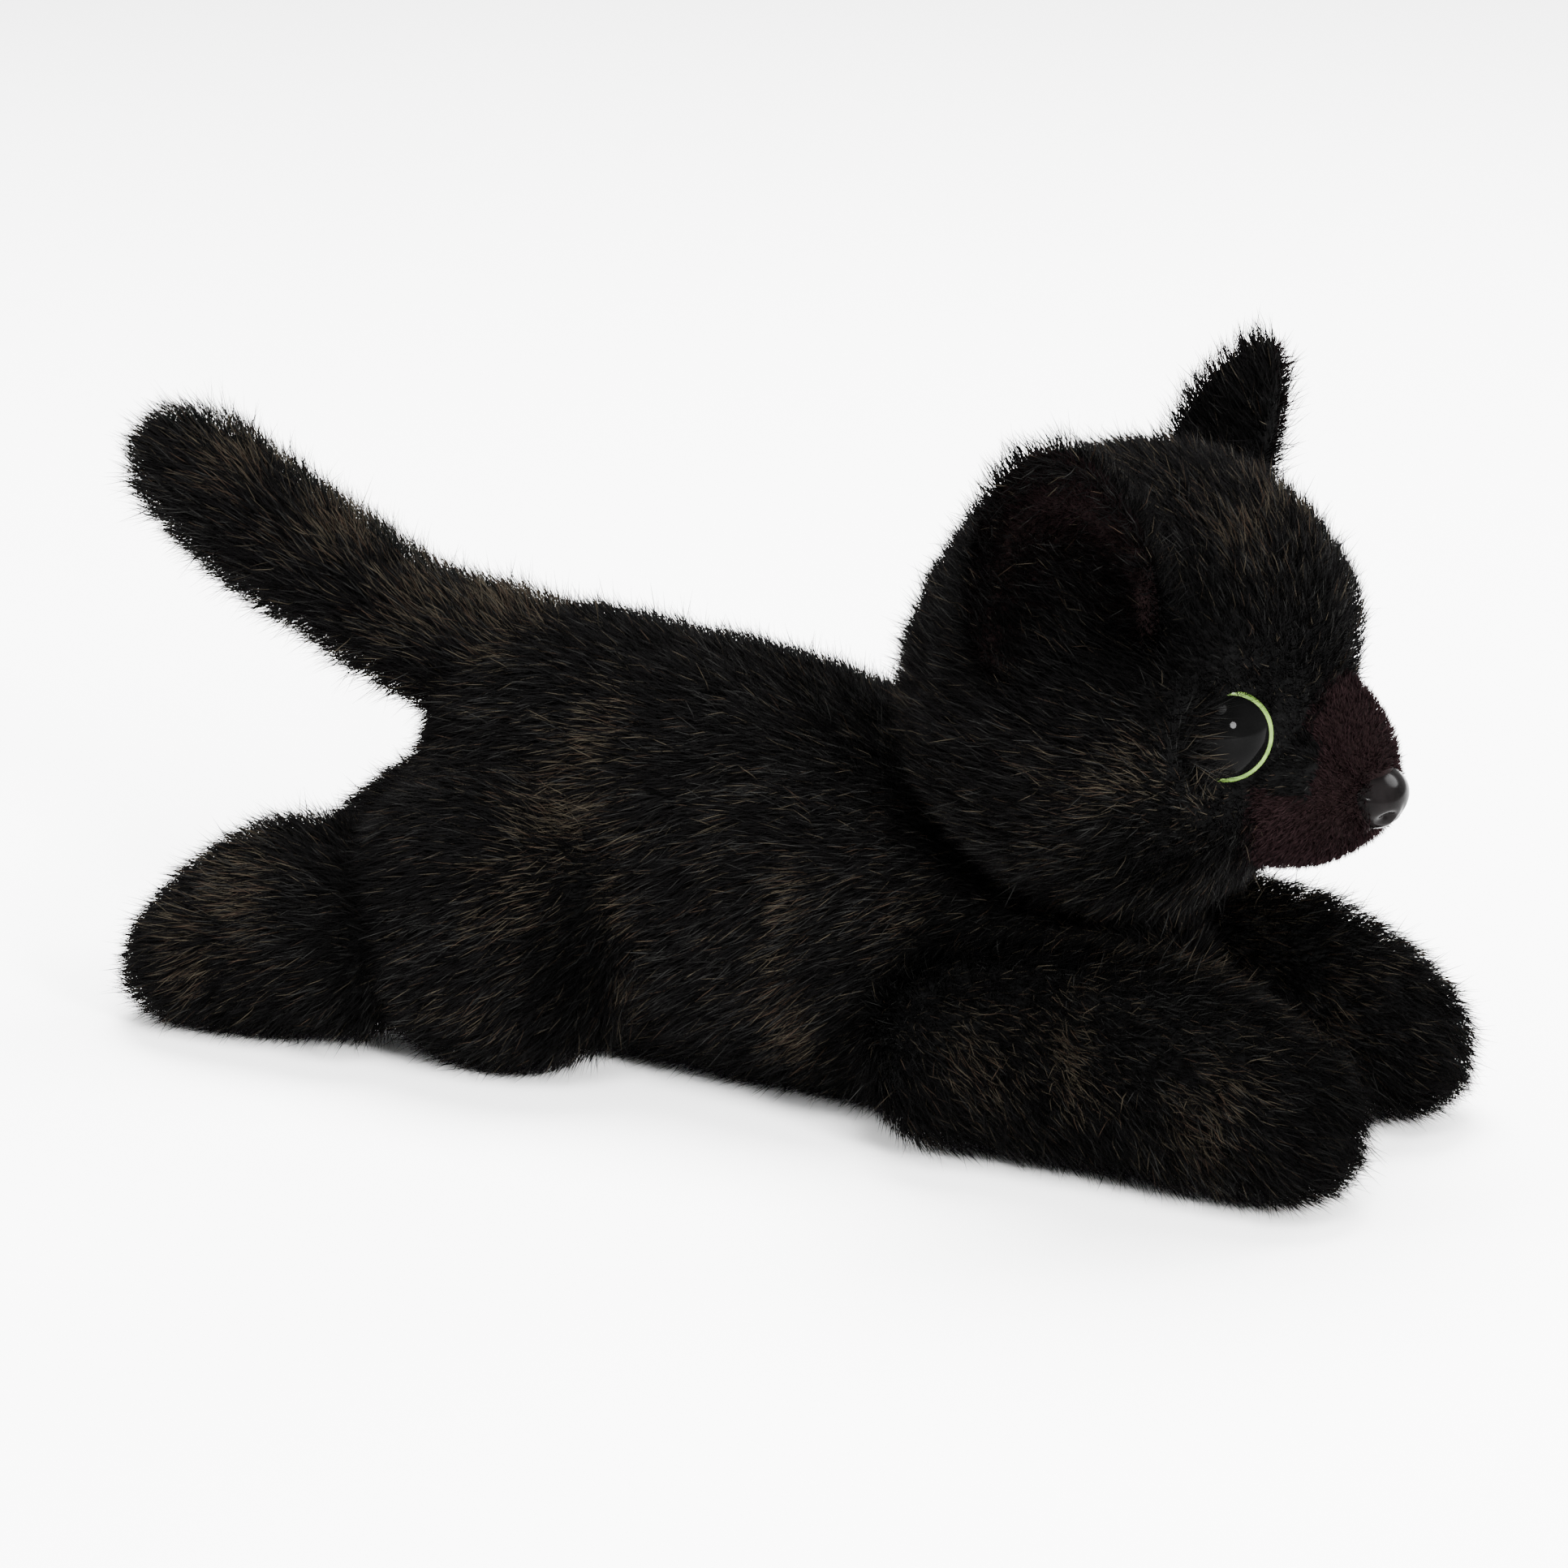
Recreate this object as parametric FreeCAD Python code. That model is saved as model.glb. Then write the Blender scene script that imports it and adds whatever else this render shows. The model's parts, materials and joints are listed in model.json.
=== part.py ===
import FreeCAD, Part
import math
import os

# Plush cat lying on its belly, tail raised, head up and both pairs of legs stretched out.
# Millimetres.  +X runs from the tail to the nose, +Y to the cat's left, +Z up.
# The origin is on the floor, under the middle of the belly.

Vector = FreeCAD.Vector

# ---- driving dimensions ----
CLOTH = 1.6             # pile fabric with its backing, pressed flat
SEAM = 0.15             # half the gap between two panels at a sewn seam
SLIP = 0.4              # gap between pieces that move on each other
LOFT_POWER = 2.3        # 2 is an ellipse, more is squarer
SECTION_POINTS = 16

HEAD_CENTRE = Vector(54.5, 0, 66)
HEAD_R = 34.0
GUSSET_HALF = 13.5      # half width of the panel that runs over the crown
CHIN_Z = 48.0           # the crown panel ends and the chin panel begins here

NECK_PAD = 2.8          # thickness of the filling in the neck opening
NECK_ANGLE = 24.0       # half angle of that filling, seen from the head's centre
NECK_SWING = 30.0       # more half angle in the torso, so that the filling can turn
NECK_AIM = Vector(-0.80, 0, -0.60)

MUZZLE_CENTRE = Vector(79.5, 0, 55.5)
MUZZLE_RADII = (14.6, 13.0, 12.2)
BRIDGE_Z = 57.0

EYE_R = 6.0             # 12 mm safety eye
EYE_DOME = 3.6
EYE_SEAT = Vector(76.6, 17, 64.8)      # middle of the flat back of the dome
EYE_AIM = Vector(0.62, 0.77, 0.08)
IRIS_R = 6.5
IRIS_T = 0.8
SHANK_R = 1.9
SHANK_LENGTH = 11.0
WASHER_R = 5.6
WASHER_T = 1.4
WASHER_DEPTH = 4.6      # behind the back of the dome

NOSE_CENTRE = Vector(90.6, 0, 53.4)
NOSE_RADII = (4.6, 5.6, 4.6)
NOSE_TILT = 20.0
NOSE_WASHER_BACK = 8.0

EAR_MID = Vector(56.5, 28.5, 79.5)
EAR_CHORD = Vector(0.866, -0.250, 0.433)
EAR_UP = Vector(-0.380, 0.130, 0.915)
EAR_CUP_R = 34.0
EAR_CUP_FORWARD = 31.0
EAR_CUP_UP = 9.0
EAR_CLOTH = 1.2
EAR_CLEAR = 0.9
EAR_FOLDS = (-18, -9, 0, 9, 18)   # degrees about the chord, which the head has to clear
EAR_OUTLINE = [            # along the base, and up from it
    (-15.5, -3), (-15.3, 3), (-11, 12), (-4.5, 19), (3, 23.4), (9.5, 24.4),
    (14, 21.6), (15.8, 14.5), (15.8, 5), (15.5, -3)]

TORSO = [               # x, half width, lowest z, highest z
    (-57, 8, 14, 42), (-54, 14, 6, 51), (-47, 18, 0, 58.5), (-36, 20, -1.2, 62),
    (-20, 21.5, -1.5, 63), (-5, 23.5, -1.5, 62.5), (10, 25, -1.5, 60), (24, 24, -1.5, 55),
    (38, 21, -1.5, 45), (50, 16, -1.2, 36), (60, 12, 0.5, 31), (66, 8, 5, 27), (68, 4, 10, 22)]
BELLY_Z = 11.0

SHOULDER = Vector(38, 21, 15.2)
SHOULDER_R = 12.6
SHOULDER_HALF_HEIGHT = 16.8
FORELEG = [             # x, y, half width, lowest z, highest z
    (38, 21, 11.2, -0.6, 30.6), (52, 20.8, 12.4, -1.6, 32.8), (66, 20.5, 12.8, -1.6, 33.4),
    (77, 20.3, 13, -1.6, 32), (86, 20.1, 12.6, -1.4, 27.5), (93, 20, 11, -0.8, 21.5),
    (98, 20, 8.5, 0.8, 15.5), (101, 20, 4.5, 3, 10.5)]
SOLE_X = 62.0
SOLE_Z = 3.0
SWING_SPARE = 1.8                 # more room on the side that a leg turns in from
LEG_IN = 5.0            # degrees a leg can turn inwards

HIP = Vector(-58, 24, 15.8)
HIP_R = 12.5
HIP_HALF_HEIGHT = 17.4
HIND_FOOT = [
    (-58, 24, 11.0, -0.6, 31.6), (-68, 24.6, 12.2, -1.6, 32.2), (-78, 25.4, 12.3, -1.6, 29.8),
    (-86, 26, 11.5, -1.2, 24.6), (-92, 26.5, 9.5, -0.4, 19), (-96, 26.8, 6.5, 1.5, 14),
    (-98, 27, 3.5, 3.5, 10.5)]

THIGH_CENTRE = Vector(-36, 24, 20.5)
THIGH_RADII = (24.5, 12, 23.5)
THIGH_IN = 20.2

TAIL_ROOT = Vector(-50, 0, 53)
TAIL_R = 9.0
TAIL_WAD_R = 4.2
TAIL_DROPS = (-15, -4, 8, 20)     # degrees that the tail lifts
TAIL_SWAYS = (-25, -12, 0, 12, 25)
TAIL_ROOM = 0.8                   # space beside the tail over its whole travel
TAIL_REACH = 34.0                 # how far along the tail the torso leaves that space
TAIL = [                # x, z, radius, rise of the centre line in degrees
    (-50, 53, 7.6, 19), (-60, 56.6, 8.8, 21), (-70, 60.7, 9.2, 24), (-80, 65.4, 9.2, 27),
    (-90, 70.8, 8.8, 30), (-98, 75.6, 7.4, 31), (-103.4, 78.9, 5.0, 31), (-105.8, 80.4, 2.4, 31)]

POUCH_CENTRE = Vector(-2, 0, 12)
POUCH_RADII = (24, 13, 8)

BIG = 400.0


# ---- shapes that the pieces are made from ----
def box(x0, y0, z0, x1, y1, z1):
    return Part.makeBox(x1 - x0, y1 - y0, z1 - z0, Vector(x0, y0, z0))


def above(z):
    return box(-BIG, -BIG, z, BIG, BIG, z + BIG)


def below(z):
    return box(-BIG, -BIG, z - BIG, BIG, BIG, z)


def left_of(y):
    return box(-BIG, y, -BIG, BIG, y + BIG, BIG)


def right_of(y):
    return box(-BIG, y - BIG, -BIG, BIG, y, BIG)


def mirrored(shape):
    """The same piece for the cat's right side."""
    return shape.mirror(Vector(0, 0, 0), Vector(0, 1, 0))


def ellipsoid(centre, radii, grow=0.0):
    ball = Part.makeSphere(1.0)
    stretch = FreeCAD.Matrix()
    stretch.scale(radii[0] + grow, radii[1] + grow, radii[2] + grow)
    shape = ball.transformGeometry(stretch)
    shape.translate(centre)
    return shape


def ring_points(centre, across, up, half_w, half_h):
    """Points of a rounded section, between an ellipse and a rectangle."""
    points = []
    for k in range(SECTION_POINTS):
        t = 2 * math.pi * k / SECTION_POINTS
        c, s = math.cos(t), math.sin(t)
        a = half_w * math.copysign(abs(c) ** (2 / LOFT_POWER), c)
        b = half_h * math.copysign(abs(s) ** (2 / LOFT_POWER), s)
        points.append(centre + across * a + up * b)
    return points


def section(centre, across, up, half_w, half_h):
    curve = Part.BSplineCurve()
    curve.interpolate(ring_points(centre, across, up, half_w, half_h), PeriodicFlag=True)
    return Part.Wire([curve.toShape()])


def loft(sections):
    return Part.makeLoft(sections, True, False)


def limb(stations):
    """A leg along X, flat where it rests on the floor."""
    rings = []
    for x, y, half_w, low, high in stations:
        centre = Vector(x, y, (low + high) / 2)
        rings.append(section(centre, Vector(0, 1, 0), Vector(0, 0, 1), half_w, (high - low) / 2))
    return loft(rings)


def shrunk(shape, wall):
    """The room inside a cover whose wall is this thick."""
    bounds = shape.optimalBoundingBox(False)
    centre = bounds.Center
    sides = (bounds.XLength, bounds.YLength, bounds.ZLength)
    scale = [(side - 2 * wall) / side for side in sides]
    matrix = FreeCAD.Matrix()
    matrix.scale(*scale)
    inner = shape.copy()
    inner.translate(centre * -1)
    inner = inner.transformGeometry(matrix)
    inner.translate(centre)
    return inner


def rod(start, direction, radius, length):
    return Part.makeCylinder(radius, length, start, direction)


def biggest(shape):
    """The main solid of a cut, without slivers."""
    return max(shape.Solids, key=lambda solid: solid.Volume)


NODES = {}


def keep(name, shape):
    NODES[name] = biggest(shape)


def keep_pair(name, shape):
    """A piece on the cat's left and its mirror image on the right."""
    keep(name + "_left", shape)
    keep(name + "_right", mirrored(shape))


# ---- limbs ----
def foreleg_solid():
    ball = ellipsoid(SHOULDER, (SHOULDER_R, SHOULDER_R, SHOULDER_HALF_HEIGHT))
    return ball.fuse(limb(FORELEG)).common(above(0))


def hind_foot_solid():
    ball = ellipsoid(HIP, (HIP_R, HIP_R, HIP_HALF_HEIGHT))
    return ball.fuse(limb(HIND_FOOT)).common(above(0))


def make_forelegs():
    whole = foreleg_solid()
    room = shrunk(whole, CLOTH)
    cover = whole.cut(room)
    sole_zone = box(SOLE_X, -BIG, -BIG, BIG, BIG, SOLE_Z)
    rest_zone = box(SOLE_X - 2 * SEAM, -BIG, -BIG, BIG, BIG, SOLE_Z + 2 * SEAM)
    upper = cover.cut(rest_zone)
    keep_pair("foreleg_outer", upper.common(left_of(SHOULDER.y + SEAM)))
    keep_pair("foreleg_inner", upper.common(right_of(SHOULDER.y - SEAM)))
    keep_pair("foreleg_sole", cover.common(sole_zone))
    keep_pair("foreleg_stuffing", shrunk(room, SEAM))


def make_hind_feet():
    whole = hind_foot_solid()
    room = shrunk(whole, CLOTH)
    cover = whole.cut(room)
    keep_pair("hind_foot_outer", cover.common(left_of(HIP.y + 1 + SEAM)))
    keep_pair("hind_foot_inner", cover.common(right_of(HIP.y + 1 - SEAM)))
    keep_pair("hind_foot_stuffing", shrunk(room, SEAM))


# ---- tail ----
def tail_solid():
    rings = []
    for x, z, radius, rise in TAIL:
        slope = math.radians(rise)
        up = Vector(math.sin(slope), 0, math.cos(slope))
        rings.append(section(Vector(x, 0, z), Vector(0, 1, 0), up, radius, radius))
    return Part.makeSphere(TAIL_R, TAIL_ROOT).fuse(loft(rings))


def make_tail():
    whole = tail_solid()
    room = shrunk(whole, CLOTH)
    cover = whole.cut(room)
    keep("tail_panel_left", cover.common(left_of(SEAM)))
    keep("tail_panel_right", cover.common(right_of(-SEAM)))
    hollow = Part.makeSphere(TAIL_WAD_R + SLIP, TAIL_ROOT)
    keep("tail_stuffing", shrunk(room, SEAM).cut(hollow))
    keep("tail_root_stuffing", Part.makeSphere(TAIL_WAD_R, TAIL_ROOT))


def tail_pockets(wall):
    """The room that the tail's root sweeps as it lifts and sways."""
    first, last = TAIL[0], TAIL[2]
    along = Vector(last[0], 0, last[1]) - TAIL_ROOT
    radius = max(first[2], last[2]) + TAIL_ROOM + wall
    pockets = [Part.makeSphere(TAIL_R + SLIP + wall, TAIL_ROOT)]
    for drop in TAIL_DROPS:
        for sway in TAIL_SWAYS:
            turn = FreeCAD.Rotation(Vector(0, 1, 0), drop) * FreeCAD.Rotation(Vector(0, 0, 1), sway)
            pockets.append(Part.makeCylinder(radius, TAIL_REACH, TAIL_ROOT, turn.multVec(along)))
    return pockets


# ---- torso ----
def swing_room(pivot, radius, ahead, wall):
    """Everything on the far side of a leg's pivot that the leg sweeps, as a tall prism."""
    turn = math.radians(LEG_IN)
    inner_y = pivot.y - (radius + SLIP + wall)
    near_x = pivot.x - math.copysign(radius * math.tan(turn) + SWING_SPARE, ahead)
    far_x = pivot.x + ahead
    far_y = inner_y - abs(ahead) * math.tan(turn)
    corners = [Vector(near_x, inner_y, -BIG / 2), Vector(far_x, far_y, -BIG / 2),
               Vector(far_x, BIG / 4, -BIG / 2), Vector(near_x, BIG / 4, -BIG / 2)]
    face = Part.Face(Part.makePolygon(corners + corners[:1]))
    return face.extrude(Vector(0, 0, BIG))


def hip_pocket(wall):
    return [ellipsoid(HIP, (HIP_R, HIP_R, HIP_HALF_HEIGHT), SLIP + wall),
            swing_room(HIP, HIP_R, -BIG / 4, wall)]


def shoulder_pocket(wall):
    return [ellipsoid(SHOULDER, (SHOULDER_R, SHOULDER_R, SHOULDER_HALF_HEIGHT), SLIP + wall),
            swing_room(SHOULDER, SHOULDER_R, BIG / 4, wall)]


def leg_pockets(wall):
    one_side = hip_pocket(wall) + shoulder_pocket(wall)
    return one_side + [mirrored(shape) for shape in one_side]


def neck_cone(half_angle, reach):
    wide = reach * math.tan(math.radians(half_angle))
    return Part.makeCone(0, wide, reach, HEAD_CENTRE, NECK_AIM)


def neck_pockets(wall):
    ball = Part.makeSphere(HEAD_R + SLIP + wall, HEAD_CENTRE)
    wide = Part.makeSphere(HEAD_R + NECK_PAD + 2 * SLIP + wall, HEAD_CENTRE)
    return [ball, wide.common(neck_cone(NECK_ANGLE + NECK_SWING, HEAD_R * 2))]


def torso_solid(wall=0.0):
    """The torso without the room for the head, legs and tail; a wall makes it that much smaller."""
    rings = []
    for x, half_w, low, high in TORSO:
        centre = Vector(x, 0, (low + high) / 2)
        rings.append(section(centre, Vector(0, 1, 0), Vector(0, 0, 1), half_w, (high - low) / 2))
    shape = loft(rings).common(above(0))
    if wall:
        shape = shrunk(shape, wall)
    for pocket in leg_pockets(wall) + neck_pockets(wall) + tail_pockets(wall):
        shape = shape.cut(pocket)
    return biggest(shape)


def make_torso():
    cover = torso_solid().cut(torso_solid(CLOTH))
    upper = cover.common(above(BELLY_Z + SEAM))
    keep("torso_panel_left", upper.common(left_of(SEAM)))
    keep("torso_panel_right", upper.common(right_of(-SEAM)))
    keep("belly_panel", cover.common(below(BELLY_Z - SEAM)))
    pouch_room = ellipsoid(POUCH_CENTRE, POUCH_RADII, SEAM)
    keep("torso_stuffing", torso_solid(CLOTH + SEAM).cut(pouch_room))
    keep("pellet_pouch", ellipsoid(POUCH_CENTRE, POUCH_RADII))


def make_thighs():
    bulge = ellipsoid(THIGH_CENTRE, THIGH_RADII).common(above(0)).common(left_of(THIGH_IN))
    bulge = biggest(bulge.cut(torso_solid()))
    bulge.translate(Vector(0, 2 * SEAM, 0))

    def inset(wall):
        shape = shrunk(bulge, wall) if wall else bulge
        for pocket in hip_pocket(wall):
            shape = shape.cut(pocket)
        return biggest(shape)

    keep_pair("thigh_panel", inset(0.0).cut(inset(CLOTH)))
    keep_pair("thigh_stuffing", inset(CLOTH + SEAM))


def make_neck():
    outer = Part.makeSphere(HEAD_R + SLIP + NECK_PAD, HEAD_CENTRE)
    inner = Part.makeSphere(HEAD_R + SLIP, HEAD_CENTRE)
    keep("neck_stuffing", outer.cut(inner).common(neck_cone(NECK_ANGLE, HEAD_R * 2)))


# ---- head ----
def eye_seat():
    return EYE_SEAT, Vector(EYE_AIM).normalize()


def eye_socket():
    """The clear room that one eye, its shank and its washer take up."""
    seat, aim = eye_seat()
    inside = rod(seat - aim * (SHANK_LENGTH + SLIP), aim, WASHER_R + SEAM, SHANK_LENGTH + SLIP)
    outside = rod(seat - aim * (IRIS_T + SEAM), aim, IRIS_R + SEAM, BIG / 4)
    return inside.fuse(outside)


def nose_shape():
    nose = ellipsoid(Vector(0, 0, 0), NOSE_RADII)
    nose.rotate(Vector(0, 0, 0), Vector(0, 1, 0), NOSE_TILT)
    nose.translate(NOSE_CENTRE)
    return nose


def nose_room():
    room = ellipsoid(Vector(0, 0, 0), NOSE_RADII, SEAM)
    room.rotate(Vector(0, 0, 0), Vector(0, 1, 0), NOSE_TILT)
    room.translate(NOSE_CENTRE)
    back = rod(NOSE_CENTRE - Vector(SHANK_LENGTH + SLIP, 0, 0), Vector(1, 0, 0), WASHER_R / 1.3 + SEAM,
               SHANK_LENGTH)
    return room.fuse(back)


def make_head():
    ball = Part.makeSphere(HEAD_R, HEAD_CENTRE)
    room = Part.makeSphere(HEAD_R - CLOTH, HEAD_CENTRE)
    holes = [eye_socket(), mirrored(eye_socket()), nose_room()]
    cover = ball.cut(room)
    filling = Part.makeSphere(HEAD_R - CLOTH - SEAM, HEAD_CENTRE)
    for hole in holes:
        cover = cover.cut(hole)
        filling = filling.cut(hole)
    keep_pair("head_side", cover.common(left_of(GUSSET_HALF + SEAM)))
    band = cover.common(left_of(-GUSSET_HALF + SEAM)).common(right_of(GUSSET_HALF - SEAM))
    keep("crown_gusset", band.common(above(CHIN_Z + SEAM)))
    keep("chin_panel", band.common(below(CHIN_Z - SEAM)))
    keep("head_stuffing", filling)


def make_muzzle():
    whole = ellipsoid(MUZZLE_CENTRE, MUZZLE_RADII)
    room = ellipsoid(MUZZLE_CENTRE, MUZZLE_RADII, -CLOTH)
    behind = Part.makeSphere(HEAD_R + SEAM, HEAD_CENTRE)
    holes = [behind, eye_socket(), mirrored(eye_socket()), nose_room()]
    cover = whole.cut(room)
    filling = ellipsoid(MUZZLE_CENTRE, MUZZLE_RADII, -CLOTH - SEAM)
    for hole in holes:
        cover = cover.cut(hole)
        filling = filling.cut(hole)
    keep("muzzle_bridge", cover.common(above(BRIDGE_Z + SEAM)))
    keep("muzzle_lower", cover.common(below(BRIDGE_Z - SEAM)))
    keep("muzzle_stuffing", filling)


def washer(centre, aim, outer):
    disc = rod(centre, aim, outer, WASHER_T)
    return disc.cut(rod(centre - aim, aim, SHANK_R + SEAM, WASHER_T + 2))


def make_eyes():
    seat, aim = eye_seat()
    bulge = (EYE_R ** 2 + EYE_DOME ** 2) / (2 * EYE_DOME)
    lens = Part.makeSphere(bulge, seat + aim * (EYE_DOME - bulge))
    lens = lens.common(rod(seat, aim, EYE_R, EYE_DOME * 2))
    shank = rod(seat - aim * SHANK_LENGTH, aim, SHANK_R, SHANK_LENGTH)
    keep_pair("eye_dome", lens.fuse(shank))
    iris = rod(seat - aim * (IRIS_T + SEAM / 2), aim, IRIS_R, IRIS_T)
    iris = iris.cut(rod(seat - aim * 2, aim, SHANK_R + SEAM, 4))
    keep_pair("eye_iris", iris)
    keep_pair("eye_washer", washer(seat - aim * (WASHER_DEPTH + WASHER_T), aim, WASHER_R))


def make_nose():
    shank = rod(NOSE_CENTRE - Vector(SHANK_LENGTH, 0, 0), Vector(1, 0, 0), SHANK_R, SHANK_LENGTH)
    keep("nose", nose_shape().fuse(shank))
    keep("nose_washer", washer(NOSE_CENTRE - Vector(NOSE_WASHER_BACK, 0, 0), Vector(1, 0, 0),
                               WASHER_R / 1.3))


# ---- ears ----
def ear_prism():
    """The ear's outline seen square on, as a long prism."""
    chord = Vector(EAR_CHORD).normalize()
    facing = EAR_UP.cross(chord).normalize()
    up = chord.cross(facing)
    points = [EAR_MID + chord * a + up * b - facing * 30 for a, b in EAR_OUTLINE]
    curve = Part.BSplineCurve()
    curve.interpolate(points)
    closing = Part.LineSegment(points[-1], points[0])
    face = Part.Face(Part.Wire([curve.toShape(), closing.toShape()]))
    return face.extrude(facing * 60), chord, up, facing


def make_ears():
    prism, chord, up, facing = ear_prism()
    centre = EAR_MID + facing * EAR_CUP_FORWARD + up * EAR_CUP_UP
    heads = []
    for fold in EAR_FOLDS:
        to_head = FreeCAD.Rotation(chord, -fold).multVec(HEAD_CENTRE - EAR_MID)
        heads.append(Part.makeSphere(HEAD_R + EAR_CLEAR, EAR_MID + to_head))
    rear_half = Part.makeBox(120, 120, 60, Vector(-60, -60, -60))
    turn = FreeCAD.Rotation(Vector(0, 0, 1), facing)
    rear_half.Placement = FreeCAD.Placement(centre - facing * 4, turn)

    def layer(radius):
        ball = Part.makeSphere(radius, centre).cut(Part.makeSphere(radius - EAR_CLOTH, centre))
        return biggest(ball.common(prism).common(rear_half).cut(heads))

    keep_pair("ear_back", layer(EAR_CUP_R))
    keep_pair("ear_lining", layer(EAR_CUP_R - EAR_CLOTH - SEAM))


make_forelegs()
make_hind_feet()
make_tail()
make_torso()
make_thighs()
make_neck()
make_head()
make_muzzle()
make_eyes()
make_nose()
make_ears()

os.makedirs("parts", exist_ok=True)
for name, shape in NODES.items():
    shape.exportStep("parts/" + name + ".step")
    low = shape.optimalBoundingBox(False)
    print("%-24s %8.1f mm3  x %6.1f %6.1f  y %6.1f %6.1f  z %6.1f %6.1f" % (
        name, shape.Volume, low.XMin, low.XMax, low.YMin, low.YMax, low.ZMin, low.ZMax))
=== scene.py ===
import json
import math

import bmesh
import bpy
import numpy as np
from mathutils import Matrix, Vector


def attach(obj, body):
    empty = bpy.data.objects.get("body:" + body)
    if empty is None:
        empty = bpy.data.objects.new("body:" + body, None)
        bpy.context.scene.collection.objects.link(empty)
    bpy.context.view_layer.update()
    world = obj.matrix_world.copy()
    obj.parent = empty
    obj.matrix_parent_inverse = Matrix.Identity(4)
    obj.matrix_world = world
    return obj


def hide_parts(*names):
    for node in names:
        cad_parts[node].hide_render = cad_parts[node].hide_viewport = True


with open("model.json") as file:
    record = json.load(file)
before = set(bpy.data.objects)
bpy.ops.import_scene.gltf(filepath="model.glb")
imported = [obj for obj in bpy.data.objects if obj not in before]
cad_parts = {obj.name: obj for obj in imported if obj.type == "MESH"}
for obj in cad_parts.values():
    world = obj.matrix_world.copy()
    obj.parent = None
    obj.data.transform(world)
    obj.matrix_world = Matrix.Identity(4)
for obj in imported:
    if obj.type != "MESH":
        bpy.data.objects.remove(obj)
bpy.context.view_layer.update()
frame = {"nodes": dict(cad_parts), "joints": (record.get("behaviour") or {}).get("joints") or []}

# Plush cat lying on its belly.  Shapes are worked out in millimetres in the frame of the CAD
# model (+X to the nose, +Y to the cat's left, +Z up) and turned into metres when a mesh is made.
# Each sewn panel is one piece: a backing cloth cut from its skin, and the pile that grows on it.

MM = 0.001
JOINTS = {joint["name"]: joint for joint in frame["joints"]}


def pivot(joint_name):
    return np.array(JOINTS[joint_name]["pos_m"]) / MM


HEAD = pivot("head_turn")
SHOULDER = pivot("foreleg_left_splay")
HIP = pivot("hind_foot_left_splay")
TAIL_ROOT = pivot("tail_lift")
EAR = pivot("ear_left_fold")
SIDES = ((1, "left"), (-1, "right"))

# ---- camera: from the cat's right and a little above, in degrees and millimetres ----
VIEW_AZIMUTH = 28.0
VIEW_ELEVATION = 17.5
VIEW_DISTANCE = 900.0
VIEW_TARGET = np.array([0.0, 0.0, 42.0])
FRAME_WIDTH = 224.65            # millimetres across the frame at the target
SENSOR = 36.0

# ---- sizes of the cloth and the pile ----
COVER_VOXEL = 2.4               # grid of the covers while they are filled
BACKING = 0.7                   # thickness of the knitted backing
STUFFING_INSET = 1.9            # from the outside of the cloth to the filling
STRAND_WIDTH = 0.145
STRANDS_PER_MM2 = 7.0
FLOOR_CLEAR = 0.25

# ---- filling of the covers: cloth simulated at ten times its size ----
CLOTH_SCALE = 10.0
CLOTH_FRAMES = 20
CLOTH_PRESSURE = 4.0
CLOTH_MASS = 0.02
CLOTH_STRETCH = 8.0
CLOTH_BEND = 0.5
SEAM_HOLD = 1.4
SWELL_CAP = 1.3

# ---- head ----
HEAD_RADII = np.array([31.0, 31.6, 31.2])
EYE_OFFSET = np.array([22.1, 17.0, -1.2])
EYE_AIM = np.array([0.62, 0.77, 0.08])
EYE_R = 6.0
IRIS_R = 6.35
EYE_DOME = 2.8
MUZZLE = HEAD + np.array([24.0, 0.0, -11.7])
MUZZLE_RADII = np.array([14.6, 14.4, 10.2])
BRIDGE = HEAD + np.array([26.8, 0.0, -3.6])
BRIDGE_RADII = np.array([13.4, 8.0, 8.4])
BRIDGE_SLOPE = 33.0             # degrees that the bridge falls towards the nose
NOSE = HEAD + np.array([35.7, 0.0, -12.1])
NOSE_RADII = np.array([5.4, 7.0, 4.5])
NOSE_TILT = 20.0                # degrees that the nose leans
NOSE_CLEAR = 5.3                # no fibres are rooted this close to its centre

# ---- limb stations: x, y, half width, lowest z, highest z ----
TORSO = [(-55.5, 0, 6, 17, 38), (-52, 0, 13, 7, 50.5), (-46, 0, 16.5, 2.5, 58),
         (-36, 0, 18.5, 1.2, 61.4), (-20, 0, 20, 1.0, 60.4), (-5, 0, 22.4, 1.0, 58.9),
         (10, 0, 24, 1.0, 55.6), (24, 0, 23.4, 1.0, 51.2), (38, 0, 20, 1.0, 44),
         (50, 0, 15, 1.2, 34), (60, 0, 11.5, 2.2, 29), (65, 0, 7.5, 5.5, 25.5)]
FORELEG = [(30, 20.0, 8.0, 4.0, 25), (38, 19.6, 10.4, 3.0, 29), (52, 19.0, 10.8, 2.7, 30.4),
           (66, 18.8, 11.0, 2.6, 30.4), (76, 18.8, 11.2, 2.5, 28.4), (85, 19.0, 10.8, 2.7, 24.2),
           (91, 19.2, 9.2, 3.6, 19.6), (95.0, 19.4, 6.4, 5.4, 14.8)]
HIND_FOOT = [(-50, 22.5, 8.0, 7.0, 27), (-58, 23.0, 10.2, 5.6, 31), (-67, 23.6, 10.8, 2.2, 31.6),
             (-75, 24.2, 11.0, 1.8, 29.2), (-82.5, 24.8, 10.2, 1.8, 23.6),
             (-88.5, 25.2, 8.4, 2.0, 17.2), (-92.4, 25.6, 5.2, 3.2, 12.6)]
FAR_FOOT_HEIGHT = 0.93          # the left foot lies a little flatter than the right
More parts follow.
